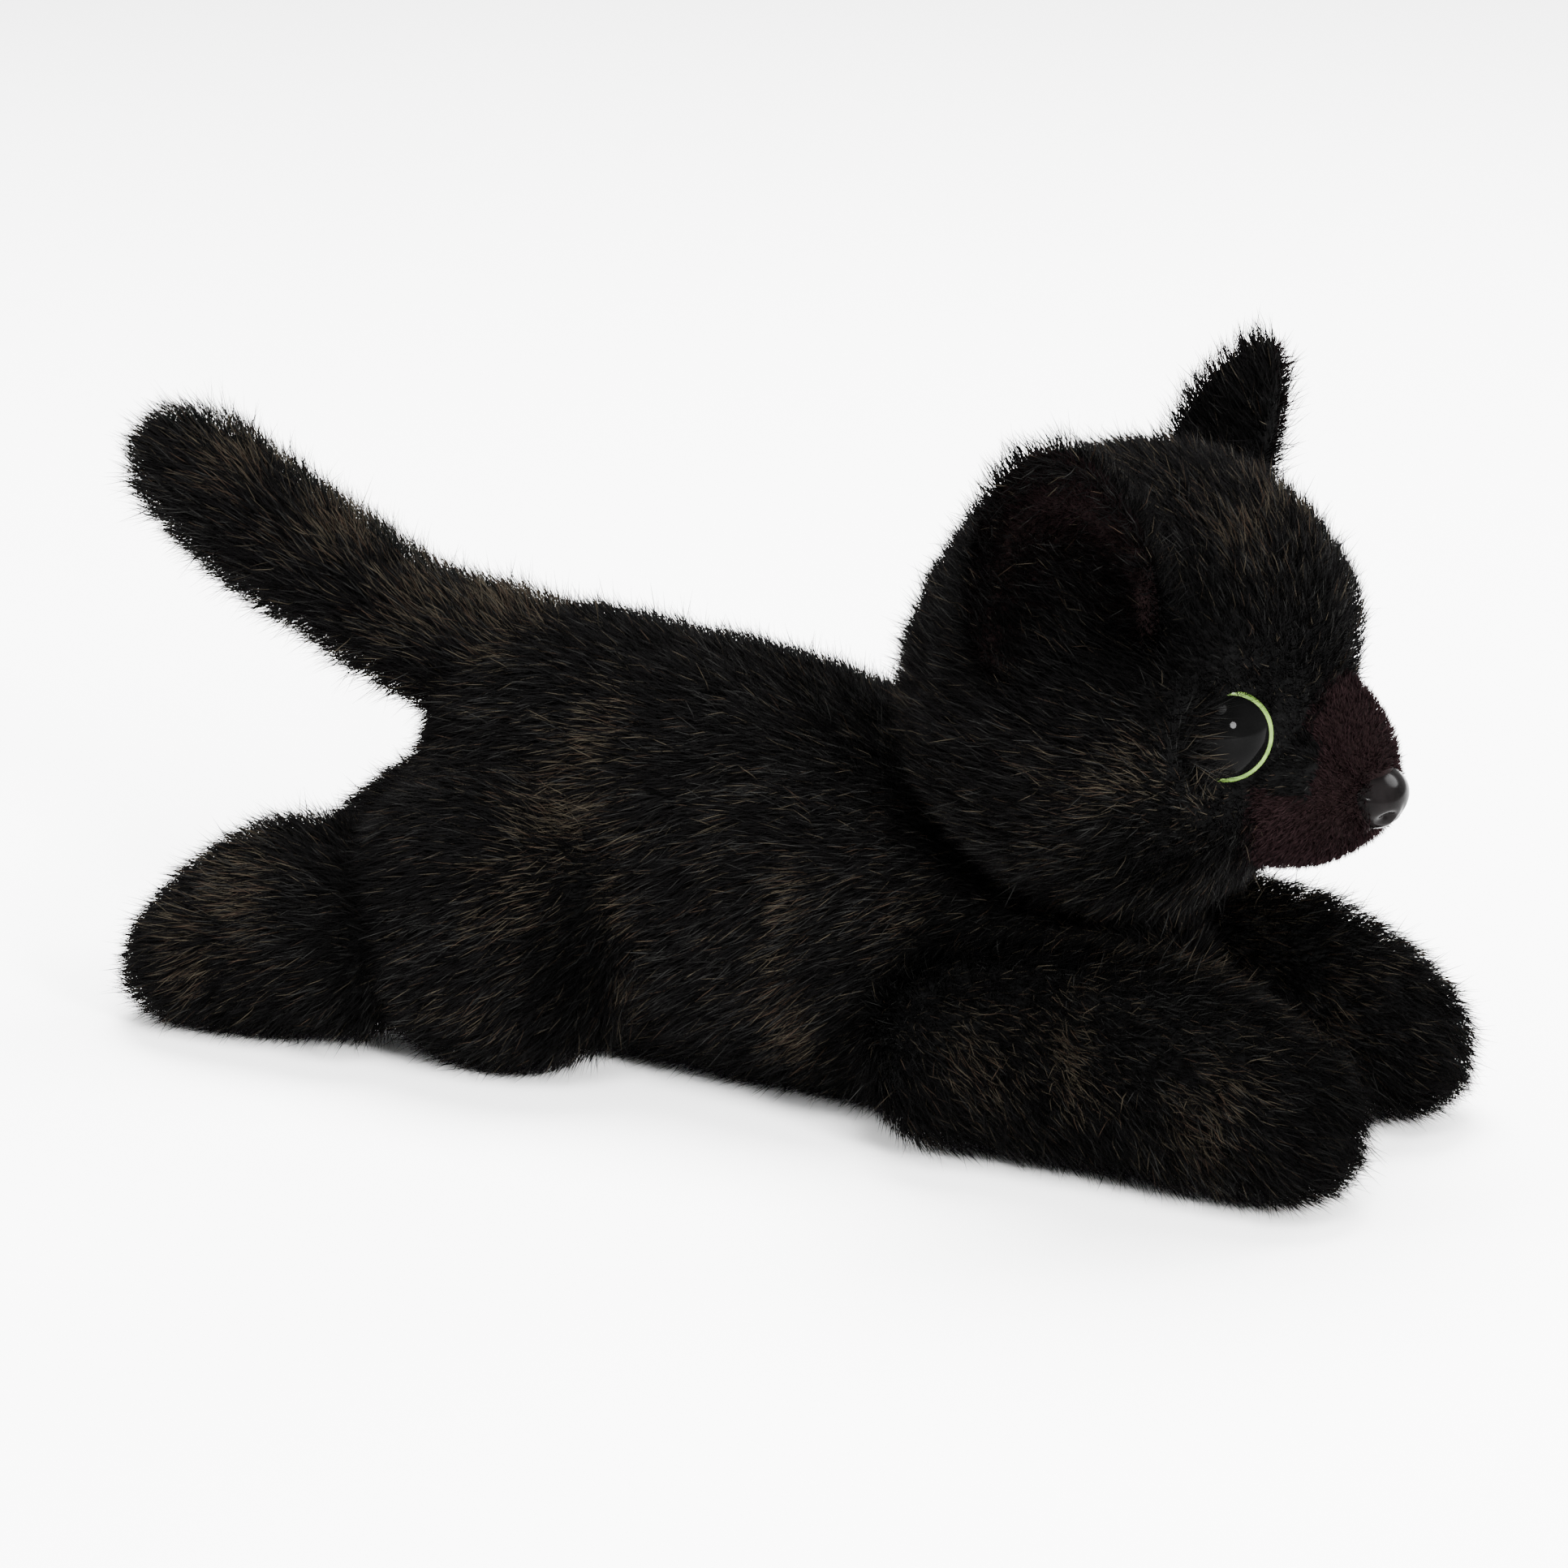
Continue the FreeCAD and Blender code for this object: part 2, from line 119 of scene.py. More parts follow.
TAIL = [                        # x, z, radius, rise of the centre line in degrees
    (-40, 51.8, 9.8, 17), (-50, 54.3, 9.0, 19), (-60, 57.0, 7.7, 21), (-70, 61.2, 7.8, 24),
    (-80, 65.8, 8.0, 27), (-90, 71.0, 8.0, 30), (-98, 75.8, 7.3, 31), (-103.4, 79.0, 5.6, 31),
    (-105.6, 80.4, 3.4, 31)]
SHOULDER_BALL = np.array([11.4, 11.4, 12.6])
HIP_BALL = np.array([11.4, 11.4, 11.8])
TORSO_REST = 1.0                # how far the belly's cloth stays above the floor
LEG_REST = 0.9
THIGH = np.array([-36.0, 20.5, 21.8])
THIGH_RADII = np.array([22.5, 12.4, 20.8])
BELLY_Z = 11.0
NECK_AIM = np.array([-0.80, 0.0, -0.60])
NECK_ANGLE = 20.0
NECK_R = 33.0
NECK_THICK = 1.6
NECK_HIDDEN = 0.55              # the wad stops short of the pile around the neck
GUSSET_HALF = 13.5


# ---- small helpers ----
def unit(v):
    return v / np.maximum(np.linalg.norm(v, axis=-1, keepdims=True), 1e-9)


def sided(point, side):
    return np.array([point[0], point[1] * side, point[2]])


def hashed(cells, seed):
    """A repeatable number from 0 to 1 for each whole-number cell."""
    c = cells.astype(np.int64).astype(np.uint64)
    h = c[..., 0] * np.uint64(73856093) ^ c[..., 1] * np.uint64(19349663)
    h = h ^ c[..., 2] * np.uint64(83492791) ^ np.uint64(seed * 2654435761 % 4294967296)
    h = h & np.uint64(0xFFFFFFFF)
    for shift, factor in ((16, 0x45D9F3B), (15, 0x2C1B3C6D)):
        h = ((h >> np.uint64(shift)) ^ h) * np.uint64(factor) & np.uint64(0xFFFFFFFF)
    h = (h >> np.uint64(13)) ^ h
    return (h & np.uint64(0xFFFFF)).astype(float) / float(0xFFFFF)


def noise(points, size, seed):
    """Smooth noise from -1 to 1 with features of about this size in millimetres."""
    p = points / size + 100.0
    base = np.floor(p)
    f = p - base
    f = f * f * (3 - 2 * f)
    total = 0.0
    for corner in range(8):
        bit = np.array([corner & 1, corner >> 1 & 1, corner >> 2 & 1])
        weight = np.prod(np.where(bit, f, 1 - f), axis=-1)
        total = total + weight * hashed(base + bit, seed)
    return total * 2 - 1


def noise3(points, size, seed):
    return np.stack([noise(points, size, seed + k) for k in range(3)], axis=-1)


def nearest_tuft(points, size, seed):
    """The centre of the tuft that each root belongs to."""
    p = points / size + 200.0
    base = np.floor(p)
    best = np.full(len(p), 1e9)
    centre = np.zeros_like(p)
    for corner in np.ndindex(3, 3, 3):
        cell = base + np.array(corner) - 1
        spot = cell + np.stack([hashed(cell, seed + k) for k in range(3)], axis=-1)
        far = ((spot - p) ** 2).sum(-1)
        closer = far < best
        best = np.where(closer, far, best)
        centre[closer] = spot[closer]
    return (centre - 200.0) * size


def blob(points, centre, radii):
    """1 at the centre of a soft patch and near 0 outside it."""
    return np.exp(-(((points - centre) / radii) ** 2).sum(-1))


# ---- meshes ----
def mesh_object(name, verts, faces):
    mesh = bpy.data.meshes.new(name)
    mesh.from_pydata([tuple(v) for v in np.asarray(verts) * MM], [], [tuple(f) for f in faces])
    mesh.validate()
    obj = bpy.data.objects.new(name, mesh)
    bpy.context.scene.collection.objects.link(obj)
    return obj


def smooth_shaded(obj):
    for polygon in obj.data.polygons:
        polygon.use_smooth = True


def read_mesh(obj):
    co = np.zeros(len(obj.data.vertices) * 3)
    obj.data.vertices.foreach_get("co", co)
    faces = [tuple(p.vertices) for p in obj.data.polygons]
    return co.reshape(-1, 3) / MM, faces


def catmull(rows, steps):
    """Rows of numbers joined by a smooth curve, with this many rows between each pair."""
    rows = np.asarray(rows, float)
    run = np.vstack([2 * rows[0] - rows[1], rows, 2 * rows[-1] - rows[-2]])
    out = []
    for i in range(1, len(run) - 2):
        a, b, c, d = run[i - 1:i + 3]
        for k in range(steps):
            t = k / steps
            out.append(0.5 * (2 * b + (c - a) * t + (2 * a - 5 * b + 4 * c - d) * t * t
                              + (3 * b - a - 3 * c + d) * t ** 3))
    out.append(run[-2])
    return np.array(out)


def tube_faces(rings, around):
    """The faces between rings of points that follow one another."""
    faces = []
    for k in range(rings - 1):
        for i in range(around):
            j = (i + 1) % around
            a, b = k * around, (k + 1) * around
            faces.append((a + i, a + j, b + j, b + i))
    return faces


def loft(centres, across, ups, half_w, half_h, power, around=36):
    """A closed tube through oval rings."""
    verts, faces = [], tube_faces(len(centres), around)
    t = np.arange(around) * 2 * math.pi / around
    c = np.sign(np.cos(t)) * np.abs(np.cos(t)) ** (2 / power)
    s = np.sign(np.sin(t)) * np.abs(np.sin(t)) ** (2 / power)
    for k in range(len(centres)):
        ring = (centres[k] + np.outer(c * half_w[k], across[k]) + np.outer(s * half_h[k], ups[k]))
        verts.extend(ring)
    first, last = len(verts), len(verts) + 1
    verts.extend([centres[0], centres[-1]])
    top = (len(centres) - 1) * around
    for i in range(around):
        j = (i + 1) % around
        faces.append((first, j, i))
        faces.append((last, top + i, top + j))
    return np.array(verts), faces


def limb(stations, power=2.05, steps=5):
    rows = catmull(stations, steps)
    centres = np.stack([rows[:, 0], rows[:, 1], (rows[:, 3] + rows[:, 4]) / 2], axis=-1)
    n = len(rows)
    across = np.tile([0.0, 1.0, 0.0], (n, 1))
    ups = np.tile([0.0, 0.0, 1.0], (n, 1))
    return loft(centres, across, ups, rows[:, 2], (rows[:, 4] - rows[:, 3]) / 2, power)


def tail_tube(stations, steps=5):
    rows = catmull(stations, steps)
    slope = np.radians(rows[:, 3])
    centres = np.stack([rows[:, 0], np.zeros(len(rows)), rows[:, 1]], axis=-1)
    ups = np.stack([np.sin(slope), np.zeros(len(rows)), np.cos(slope)], axis=-1)
    across = np.tile([0.0, 1.0, 0.0], (len(rows), 1))
    return loft(centres, across, ups, rows[:, 2], rows[:, 2], 2.0)


def ball(centre, radii, subdivisions=4):
    bm = bmesh.new()
    bmesh.ops.create_icosphere(bm, subdivisions=subdivisions, radius=1.0)
    verts = np.array([v.co[:] for v in bm.verts]) * radii + centre
    faces = [tuple(v.index for v in f.verts) for f in bm.faces]
    bm.free()
    return verts, faces


def apply_modifiers(obj):
    graph = bpy.context.evaluated_depsgraph_get()
    mesh = bpy.data.meshes.new_from_object(obj.evaluated_get(graph))
    obj.modifiers.clear()
    obj.data = mesh


def turned_out(obj, merge=0.0):
    """Every face turned outwards, after points closer than this many metres are joined."""
    bm = bmesh.new()
    bm.from_mesh(obj.data)
    if merge:
        bmesh.ops.remove_doubles(bm, verts=bm.verts, dist=merge)
    bmesh.ops.recalc_face_normals(bm, faces=bm.faces)
    bm.to_mesh(obj.data)
    bm.free()


def joined(parts):
    verts, faces = [], []
    for part_verts, part_faces in parts:
        start = len(verts)
        verts.extend(part_verts)
        faces.extend(tuple(i + start for i in face) for face in part_faces)
    return verts, faces


def fused(parts, voxel, rounds):
    """One closed, even skin around overlapping closed shapes."""
    obj = mesh_object("skin", *joined(parts))
    remesh = obj.modifiers.new("remesh", "REMESH")
    remesh.mode = "VOXEL"
    remesh.voxel_size = voxel * MM
    smooth = obj.modifiers.new("smooth", "SMOOTH")
    smooth.factor = 0.5
    smooth.iterations = rounds
    apply_modifiers(obj)
    verts, faces = read_mesh(obj)
    bpy.data.objects.remove(obj)
    return Skin(verts, faces)


def add_cloth(obj, held):
    """Cloth that swells under pressure and is held along its seams."""
    group = obj.vertex_groups.new(name="seams")
    group.add([int(i) for i in held], 1.0, "REPLACE")
    cloth = obj.modifiers.new("cloth", "CLOTH")
    cloth.settings.quality = 4
    cloth.settings.mass = CLOTH_MASS
    cloth.settings.tension_stiffness = CLOTH_STRETCH
    cloth.settings.compression_stiffness = CLOTH_STRETCH
    cloth.settings.bending_stiffness = CLOTH_BEND
    cloth.settings.use_pressure = True
    cloth.settings.uniform_pressure_force = CLOTH_PRESSURE
    cloth.settings.vertex_group_mass = "seams"
    cloth.settings.effector_weights.gravity = 0.0
    cloth.collision_settings.use_collision = False
    cloth.point_cache.frame_end = CLOTH_FRAMES


def filled(covers):
    """Fills every cover in one run of the cloth simulation, then makes it finer.

    Covers maps a name to a coarse skin and a function that gives the distance to its seams."""
    cages = {}
    for name, (skin, seam) in covers.items():
        obj = mesh_object(name + "_cage", skin.verts * CLOTH_SCALE, skin.faces)
        cages[name] = obj
        add_cloth(obj, np.flatnonzero(seam(skin.verts) < SEAM_HOLD))
    for number in range(1, CLOTH_FRAMES + 1):
        bpy.context.scene.frame_set(number)
    for obj in cages.values():
        apply_modifiers(obj)
    bpy.context.scene.frame_set(1)
    made = {}
    for name, obj in cages.items():
        before = covers[name][0].verts
        after, faces = read_mesh(obj)
        move = after / CLOTH_SCALE - before
        size = np.maximum(np.linalg.norm(move, axis=1, keepdims=True), 1e-6)
        move = move / size * np.tanh(size / SWELL_CAP) * SWELL_CAP
        verts = np.round(before + move, 2)
        bpy.data.objects.remove(obj)
        fine = mesh_object(name + "_cover", verts, faces)
        subdivide = fine.modifiers.new("subdivide", "SUBSURF")
        subdivide.levels = 1
        apply_modifiers(fine)
        made[name] = Skin(*read_mesh(fine))
        bpy.data.objects.remove(fine)
    return made


class Skin:
    """A closed surface in millimetres, with its triangles, normals and areas."""

    def __init__(self, verts, faces):
        self.verts = np.asarray(verts, float)
        self.faces = faces
        self.refresh()

    def refresh(self):
        tris, owner = [], []
        for i, face in enumerate(self.faces):
            for k in range(1, len(face) - 1):
                tris.append((face[0], face[k], face[k + 1]))
                owner.append(i)
        self.tris = np.array(tris)
        self.owner = np.array(owner)
        a, b, c = (self.verts[self.tris[:, k]] for k in range(3))
        cross = np.cross(b - a, c - a)
        self.areas = np.linalg.norm(cross, axis=1) / 2
        normals = np.zeros_like(self.verts)
        for k in range(3):
            np.add.at(normals, self.tris[:, k], cross)
        self.normals = unit(normals)
        self.centres = np.array([self.verts[list(face)].mean(0) for face in self.faces])

    def mirrored(self):
        flipped = self.verts * np.array([1.0, -1.0, 1.0])
        return Skin(flipped, [tuple(reversed(face)) for face in self.faces])

    def inset(self, depth):
        return self.verts - self.normals * depth


def push_out(verts, centre, radii, gap):
    """Moves points that lie inside an ellipsoid out to its surface, as cloth that rests on it."""
    reach = np.asarray(radii, float) + gap
    local = (verts - centre) / reach
    size = np.linalg.norm(local, axis=1, keepdims=True)
    inside = size[:, 0] < 1
    out = verts.copy()
    out[inside] = centre + (local[inside] / np.maximum(size[inside], 1e-6)) * reach
    return out


def groove(skin, distance, depth, width):
    """Pulls the skin in along a seam, where distance is 0."""
    skin.verts = skin.verts - skin.normals * (depth * np.exp(-(distance / width) ** 2))[:, None]
    skin.refresh()


# ---- colours ----
DARK = np.array([0.0005, 0.0005, 0.0005])
TIP_BLACK = np.array([0.0021, 0.0020, 0.0020])
# Light grey tips of a few fibres: painted highlights that stand in for glints of light on the
# pile.
TIP_PAINTED_GLINT = np.array([0.0120, 0.0120, 0.0112])
TIP_BROWN = np.array([0.028, 0.0235, 0.0165])
TIP_RUST = np.array([0.022, 0.0150, 0.0105])
SHORT_PILE = np.array([0.0072, 0.0040, 0.0043])
PILE_GLOSS = 0.008

# Soft patches where many fibres are brown at the tip: centre, radii, strength.  They are the
# same on both sides.
PATCHES = [
    ((-20, 24, 50), (6, 14, 10), 0.75), ((-22, 27, 40), (8, 14, 9), 0.7),
    ((-26, 32, 29), (7, 14, 8), 0.55), ((-12, 25, 31), (3, 14, 10), 0.6),
    ((-13, 25, 16), (4, 14, 7), 0.5), ((15.5, 25, 33), (4.5, 14, 9), 0.55),
    ((15, 24, 18), (4, 14, 9), 0.75), ((29.5, 25, 33), (4, 14, 7), 0.5),
    ((4, 24, 40), (3, 14, 10), 0.3), ((-34, 28, 12), (8, 14, 6), 0.35),
    ((-70, 33, 23), (6, 14, 9), 0.8), ((-77, 33, 14), (5, 14, 7), 0.6),
    ((-90, 0, 77), (9, 12, 5), 0.6), ((-72, 0, 69), (10, 12, 5), 0.75),
    ((-56, 0, 61), (9, 12, 6), 0.75), ((-42, 0, 61), (8, 12, 6), 0.8),
    ((45, 33, 19), (8, 12, 7), 0.6), ((58, 33, 22), (6, 12, 8), 0.75),
    ((79, 33, 16), (7, 12, 9), 0.75), ((59, 25, 31), (7, 9, 4), 0.4),
    ((68, 12, 27), (7, 9, 6), 0.6), ((82, 12, 18), (6, 9, 7), 0.5),
    ((78, 8, 90), (6, 7, 6), 0.85), ((72, 7, 95), (8, 7, 5), 0.55),
    ((60, 6, 98), (10, 9, 5), 0.35), ((67, 30, 61), (9, 12, 5), 0.6),
    ((76, 26, 56), (6, 12, 6), 0.5), ((57, 30, 49), (8, 12, 5), 0.25),
    ((51, 8, 29), (5, 8, 6), 0.6), ((28, 12, 62), (9, 12, 6), 0.3)]


# Soft patches of painted shade, darker than the rest: centre and radii, the same on both sides.
PAINTED_SHADE_PATCHES = [
    ((69, 26, 79), (13, 14, 10)), ((-19, 24, 20), (5, 14, 10)), ((-52, 22, 16), (5, 16, 14)),
    ((36, 24, 28), (5, 14, 9)), ((70, 30, 47), (10, 14, 5)), ((52, 34, 79), (12, 12, 9)),
    ((94, 20, 14), (7, 12, 12))]


def on_left(points):
    """The points with the right side folded onto the left one."""
    folded = points.copy()
    folded[:, 1] = np.abs(folded[:, 1])
    return folded


def brown_share(points):
    """How many of the fibres at each point have brown tips, from 0 to 1."""
    folded = on_left(points) + 2.2 * noise3(points, 9.0, 11)
    share = np.zeros(len(points))
    for centre, radii, strength in PATCHES:
        share = np.maximum(share, strength * blob(folded, np.array(centre), np.array(radii)))
    share = 1.15 * share ** 1.7 * (0.75 + 0.5 * noise(points, 3.5, 17))
    return np.clip(0.03 + share, 0, 0.9)


def shadow(points):
    """1 on most of the coat, and less inside the patches of painted shade."""
    folded = on_left(points)
    painted_shade = np.zeros(len(points))
    for centre, radii in PAINTED_SHADE_PATCHES:
        painted_shade = np.maximum(painted_shade, blob(folded, np.array(centre), np.array(radii)))
    return 1 - 0.75 * painted_shade


def coat_colours(points, rng):
    """Root, middle and tip colours of each fibre of the long pile."""
    n = len(points)
    brown = rng.random(n) < brown_share(points)
    rust = rng.random(n) < 0.3
    # A few fibres get light grey tips, painted highlights that stand in for glints on the pile.
    painted_glint = rng.random(n) < 0.09 + 0.09 * noise(points, 12.0, 23)
    # Random tone of each fibre, times the painted shade of the shaded patches.
    shade = (rng.uniform(0.65, 1.35, n) * shadow(points))[:, None]
    plain = np.where(painted_glint[:, None], TIP_PAINTED_GLINT, TIP_BLACK)
    tip = np.where(brown[:, None], np.where(rust[:, None], TIP_RUST, TIP_BROWN), plain) * shade
    middle = DARK * 0.6 + tip * 0.4
    root = np.tile(DARK, (n, 1))
    return root, middle, tip


def short_colours(points, rng):
    n = len(points)
    shade = rng.uniform(0.6, 1.45, n)[:, None] * (1 + 0.15 * noise(points, 2.0, 5))[:, None]
    tip = SHORT_PILE * shade
    return tip * 0.35, tip * 0.75, tip


def lining_colours(points, rng):
    """Painted shade: dark down in the cup, and lighter towards the top of the ear."""
    root, middle, tip = short_colours(points, rng)
    height = np.clip((points[:, 2] - EAR[2] - 9) / 9, 0, 1)[:, None]
    # share darkens the lining below the top of the ear: the painted shade of the cup.
    share = 0.06 + 0.4 * height ** 2
    return root * share, middle * share, tip * share


# ---- pile ----
def grow(skin, keep, comb, style, seed):
    """Fibres rooted on the kept faces of a skin, each a bent ribbon that ends in a point."""
    rng = np.random.default_rng(seed)
    chosen = np.flatnonzero(keep[skin.owner])
    areas = skin.areas[chosen]
    count = int(areas.sum() * STRANDS_PER_MM2 * style["density"])
    picks = chosen[rng.choice(len(chosen), count, p=areas / areas.sum())]
    u, v = rng.random(count), rng.random(count)
    over = u + v > 1
    u[over], v[over] = 1 - u[over], 1 - v[over]
    w = np.stack([1 - u - v, u, v], axis=-1)[..., None]
    root = (skin.verts[skin.tris[picks]] * w).sum(1)
    normal = unit((skin.normals[skin.tris[picks]] * w).sum(1))

    covered = style["covered"](root) if style.get("covered") else np.zeros(count)
    stay = rng.random(count) >= covered
    root, normal = root[stay], normal[stay]
    order = np.lexsort((root[:, 2] // 1.5, root[:, 0] // 1.5))
    root, normal = root[order], normal[order]
    count = len(root)

    flow = comb(root) + 0.28 * noise3(root, 7.0, seed + 3) + 0.2 * noise3(root, 2.4, seed + 9)
    flow = unit(flow)
    flow = unit(flow - normal * (flow * normal).sum(-1, keepdims=True))
    tuft = nearest_tuft(root, style["tuft"], seed + 21) - root
    tuft = tuft - normal * (tuft * normal).sum(-1, keepdims=True)

    length = style["length"](root) if callable(style["length"]) else style["length"]
    length = length * rng.uniform(0.75, 1.15, count) * (1 + 0.16 * noise(root, 4.0, seed + 5))
    stray = rng.random(count) < style["stray"]
    lay = np.where(stray, style["lay"] * 0.5, style["lay"])[:, None]
    length = np.where(stray, length * 1.2, length)[:, None]

    jitter = rng.normal(0, 0.16, (count, 3))
    lower = unit(normal * (1 - lay * 0.55) + flow * lay * 0.7 + jitter)
    upper = unit(normal * (1 - lay) + flow * lay * 1.15 + jitter
                 + tuft * style["clump"] / np.maximum(length, 0.5))
    a = root - normal * 0.15
    b = root + lower * length * 0.5
    c = b + upper * length * 0.55
    for point in (b, c):
        point[:, 2] = np.maximum(point[:, 2], FLOOR_CLEAR * rng.uniform(0.8, 2.5, count))

    side = unit(np.cross(upper, normal) + 1e-6)
    twist = rng.normal(0, 0.7, count)[:, None]
    side = unit(side * np.cos(twist) + np.cross(unit(upper), side) * np.sin(twist))
    half = style.get("width", STRAND_WIDTH) / 2 * rng.uniform(0.75, 1.25, count)[:, None]
    half = half * 1.0
    verts = np.stack([a - side * half, a + side * half, b - side * half * 0.85,
                      b + side * half * 0.85, c], axis=1)
    shades = style["colours"](root, rng)
    colours = np.stack([shades[0], shades[0], shades[1], shades[1], shades[2]], axis=1)
    return verts, colours


def backing(skin, keep):
    """The panel's cloth: the kept faces, a second layer under them and a rim between."""
    kept = [skin.faces[i] for i in np.flatnonzero(keep)]
    used = sorted({i for face in kept for i in face})
    index = {old: new for new, old in enumerate(used)}
    outer = skin.verts[used]
    inner = outer - skin.normals[used] * BACKING
    n = len(used)
    faces = [tuple(index[i] for i in face) for face in kept]
    edges = dict.fromkeys(edge for face in faces for edge in zip(face, face[1:] + face[:1]))
    rim = [(b, a, a + n, b + n) for a, b in edges if (b, a) not in edges]
    under = [tuple(i + n for i in reversed(face)) for face in faces]
    return np.vstack([outer, inner]), faces + under + rim


def strand_cells(count):
    """A small square of the texture for each strand, so that a bake keeps its own colours."""
    columns = max(1, math.ceil(math.sqrt(count)))
    cell = 1.0 / columns
    k = np.arange(count)
    x, y = (k % columns) * cell, (k // columns) * cell
    low, high = cell * 0.2, cell * 0.8
    half = cell * 0.5
    u = np.stack([x + low, x + high, x + low, x + high, x + half], axis=1)
    v = np.stack([y + low, y + low, y + half, y + half, y + high], axis=1)
    return np.stack([u, v], axis=-1)


def panel_piece(name, parts, kind, cloth, pile, seed):
    """One sewn panel: its backing cloth and its pile in one mesh.  Each part is a skin, the faces
    kept from it and the direction in which its pile is combed."""
    cloth_verts, cloth_faces, strands, colours = [], [], [], []
    n = 0
    for k, (skin, keep, comb) in enumerate(parts):
        sheet_verts, sheet_faces = backing(skin, keep)
        cloth_verts.append(sheet_verts)
        cloth_faces += [tuple(i + n for i in face) for face in sheet_faces]
        n += len(sheet_verts)
        grown = grow(skin, keep, comb, kind, seed + 1000 * k)
        strands.append(grown[0])
        colours.append(grown[1])
    cloth_verts = np.vstack(cloth_verts)
    strands = np.vstack(strands)
    colours = np.vstack(colours)
    count = len(strands)
    verts = np.vstack([cloth_verts, strands.reshape(-1, 3)]) * MM

    quads = np.array([0, 1, 3, 2])
    tips = np.array([2, 3, 4])
    starts = (np.arange(count) * 5 + n)[:, None]
    loops = [i for face in cloth_faces for i in face]
    sizes = [len(face) for face in cloth_faces]
    strand_loops = np.hstack([starts + quads, starts + tips]).ravel()
    all_loops = np.concatenate([np.array(loops, int), strand_loops])
    all_sizes = np.concatenate([np.array(sizes, int), np.tile([4, 3], count)])
    all_starts = np.concatenate([[0], np.cumsum(all_sizes)[:-1]])

    mesh = bpy.data.meshes.new(name)
    mesh.vertices.add(len(verts))
    mesh.vertices.foreach_set("co", verts.ravel())
    mesh.loops.add(len(all_loops))
    mesh.loops.foreach_set("vertex_index", all_loops.astype(np.int32))
    mesh.polygons.add(len(all_sizes))
    mesh.polygons.foreach_set("loop_start", all_starts.astype(np.int32))
    slots = np.concatenate([np.zeros(len(sizes), int), np.ones(2 * count, int)])
    mesh.polygons.foreach_set("material_index", slots.astype(np.int32))
    mesh.polygons.foreach_set("use_smooth", np.ones(len(slots), bool))
    mesh.update(calc_edges=True)

    shade = mesh.attributes.new("fibre_colour", "FLOAT_COLOR", "POINT")
    rgba = np.ones((len(verts), 4))
    rgba[:n, :3] = kind["colours"](cloth_verts, np.random.default_rng(seed))[0]
    rgba[n:, :3] = colours.reshape(-1, 3)
    shade.data.foreach_set("color", rgba.ravel().astype(np.float32))

    cells = strand_cells(count + 1)
    uv = np.empty((len(verts), 2))
    uv[:n] = cells[count].mean(0)
    uv[n:] = cells[:count].reshape(-1, 2)
    layer = mesh.uv_layers.new(name="OFBake")
    layer.data.foreach_set("uv", uv[all_loops].ravel().astype(np.float32))

    mesh.materials.append(cloth)
    mesh.materials.append(pile)
    obj = bpy.data.objects.new(name, mesh)
    bpy.context.scene.collection.objects.link(obj)
    return obj


# ---- materials ----
def new_material(name):
    material = bpy.data.materials.new(name)
    material.use_nodes = True
    nodes = material.node_tree.nodes
    return material, nodes, material.node_tree.links, nodes["Principled BSDF"]


def noise_bump(nodes, links, shader, scale, strength, distance):
    texture = nodes.new("ShaderNodeTexNoise")
    texture.inputs["Scale"].default_value = scale
    texture.inputs["Detail"].default_value = 6.0
    coords = nodes.new("ShaderNodeTexCoord")
    links.new(coords.outputs["Object"], texture.inputs["Vector"])
    bump = nodes.new("ShaderNodeBump")
    bump.inputs["Strength"].default_value = strength
    bump.inputs["Distance"].default_value = distance
    links.new(texture.outputs["Fac"], bump.inputs["Height"])
    links.new(bump.outputs["Normal"], shader.inputs["Normal"])
    return texture


def pile_material(name, roughness):
    """Each fibre shows the colours that its own vertices carry."""
    material, nodes, links, shader = new_material(name)
    colour = nodes.new("ShaderNodeAttribute")
    colour.attribute_name = "fibre_colour"
    links.new(colour.outputs["Color"], shader.inputs["Base Color"])
    shader.inputs["Roughness"].default_value = roughness
    shader.inputs["Specular IOR Level"].default_value = PILE_GLOSS
    return material


def ramp_material(name, low, high, scale, roughness, bump=0.3, distance=0.0002, gloss=0.5):
    """A surface that varies between two colours, with fine relief."""
    material, nodes, links, shader = new_material(name)
    texture = noise_bump(nodes, links, shader, scale, bump, distance)
    ramp = nodes.new("ShaderNodeValToRGB")
    ramp.color_ramp.elements[0].position = 0.3
    ramp.color_ramp.elements[1].position = 0.7
    ramp.color_ramp.elements[0].color = (*low, 1)
    ramp.color_ramp.elements[1].color = (*high, 1)
    links.new(texture.outputs["Fac"], ramp.inputs["Fac"])
    links.new(ramp.outputs["Color"], shader.inputs["Base Color"])
    shader.inputs["Roughness"].default_value = roughness
    shader.inputs["Specular IOR Level"].default_value = gloss
    return material


BLACK_PILE = pile_material("black_pile", 0.6)
SHORT_PLUSH = pile_material("short_plush", 0.75)
KNIT = ramp_material("knit_backing", (0.001,) * 3, (0.002,) * 3, 900, 0.9, gloss=0.03)
SHORT_KNIT = ramp_material("short_backing", (0.002, 0.001, 0.001), (0.004, 0.002, 0.002), 900,
                           0.9, gloss=0.03)
FIBREFILL = ramp_material("fibrefill", (0.62, 0.62, 0.60), (0.82, 0.82, 0.80), 350, 0.95)
WASHER = ramp_material("washer_plastic", (0.60, 0.60, 0.58), (0.68, 0.68, 0.66), 300, 0.5)
EYE_BLACK = ramp_material("eye_black", (0.0008,) * 3, (0.0016,) * 3, 200, 0.06, 0.02, 0.00001,
                          gloss=0.012)
IRIS = ramp_material("iris_green", (0.035, 0.07, 0.012), (0.085, 0.14, 0.03), 700, 0.22,
                     0.05, 0.00002, gloss=0.08)
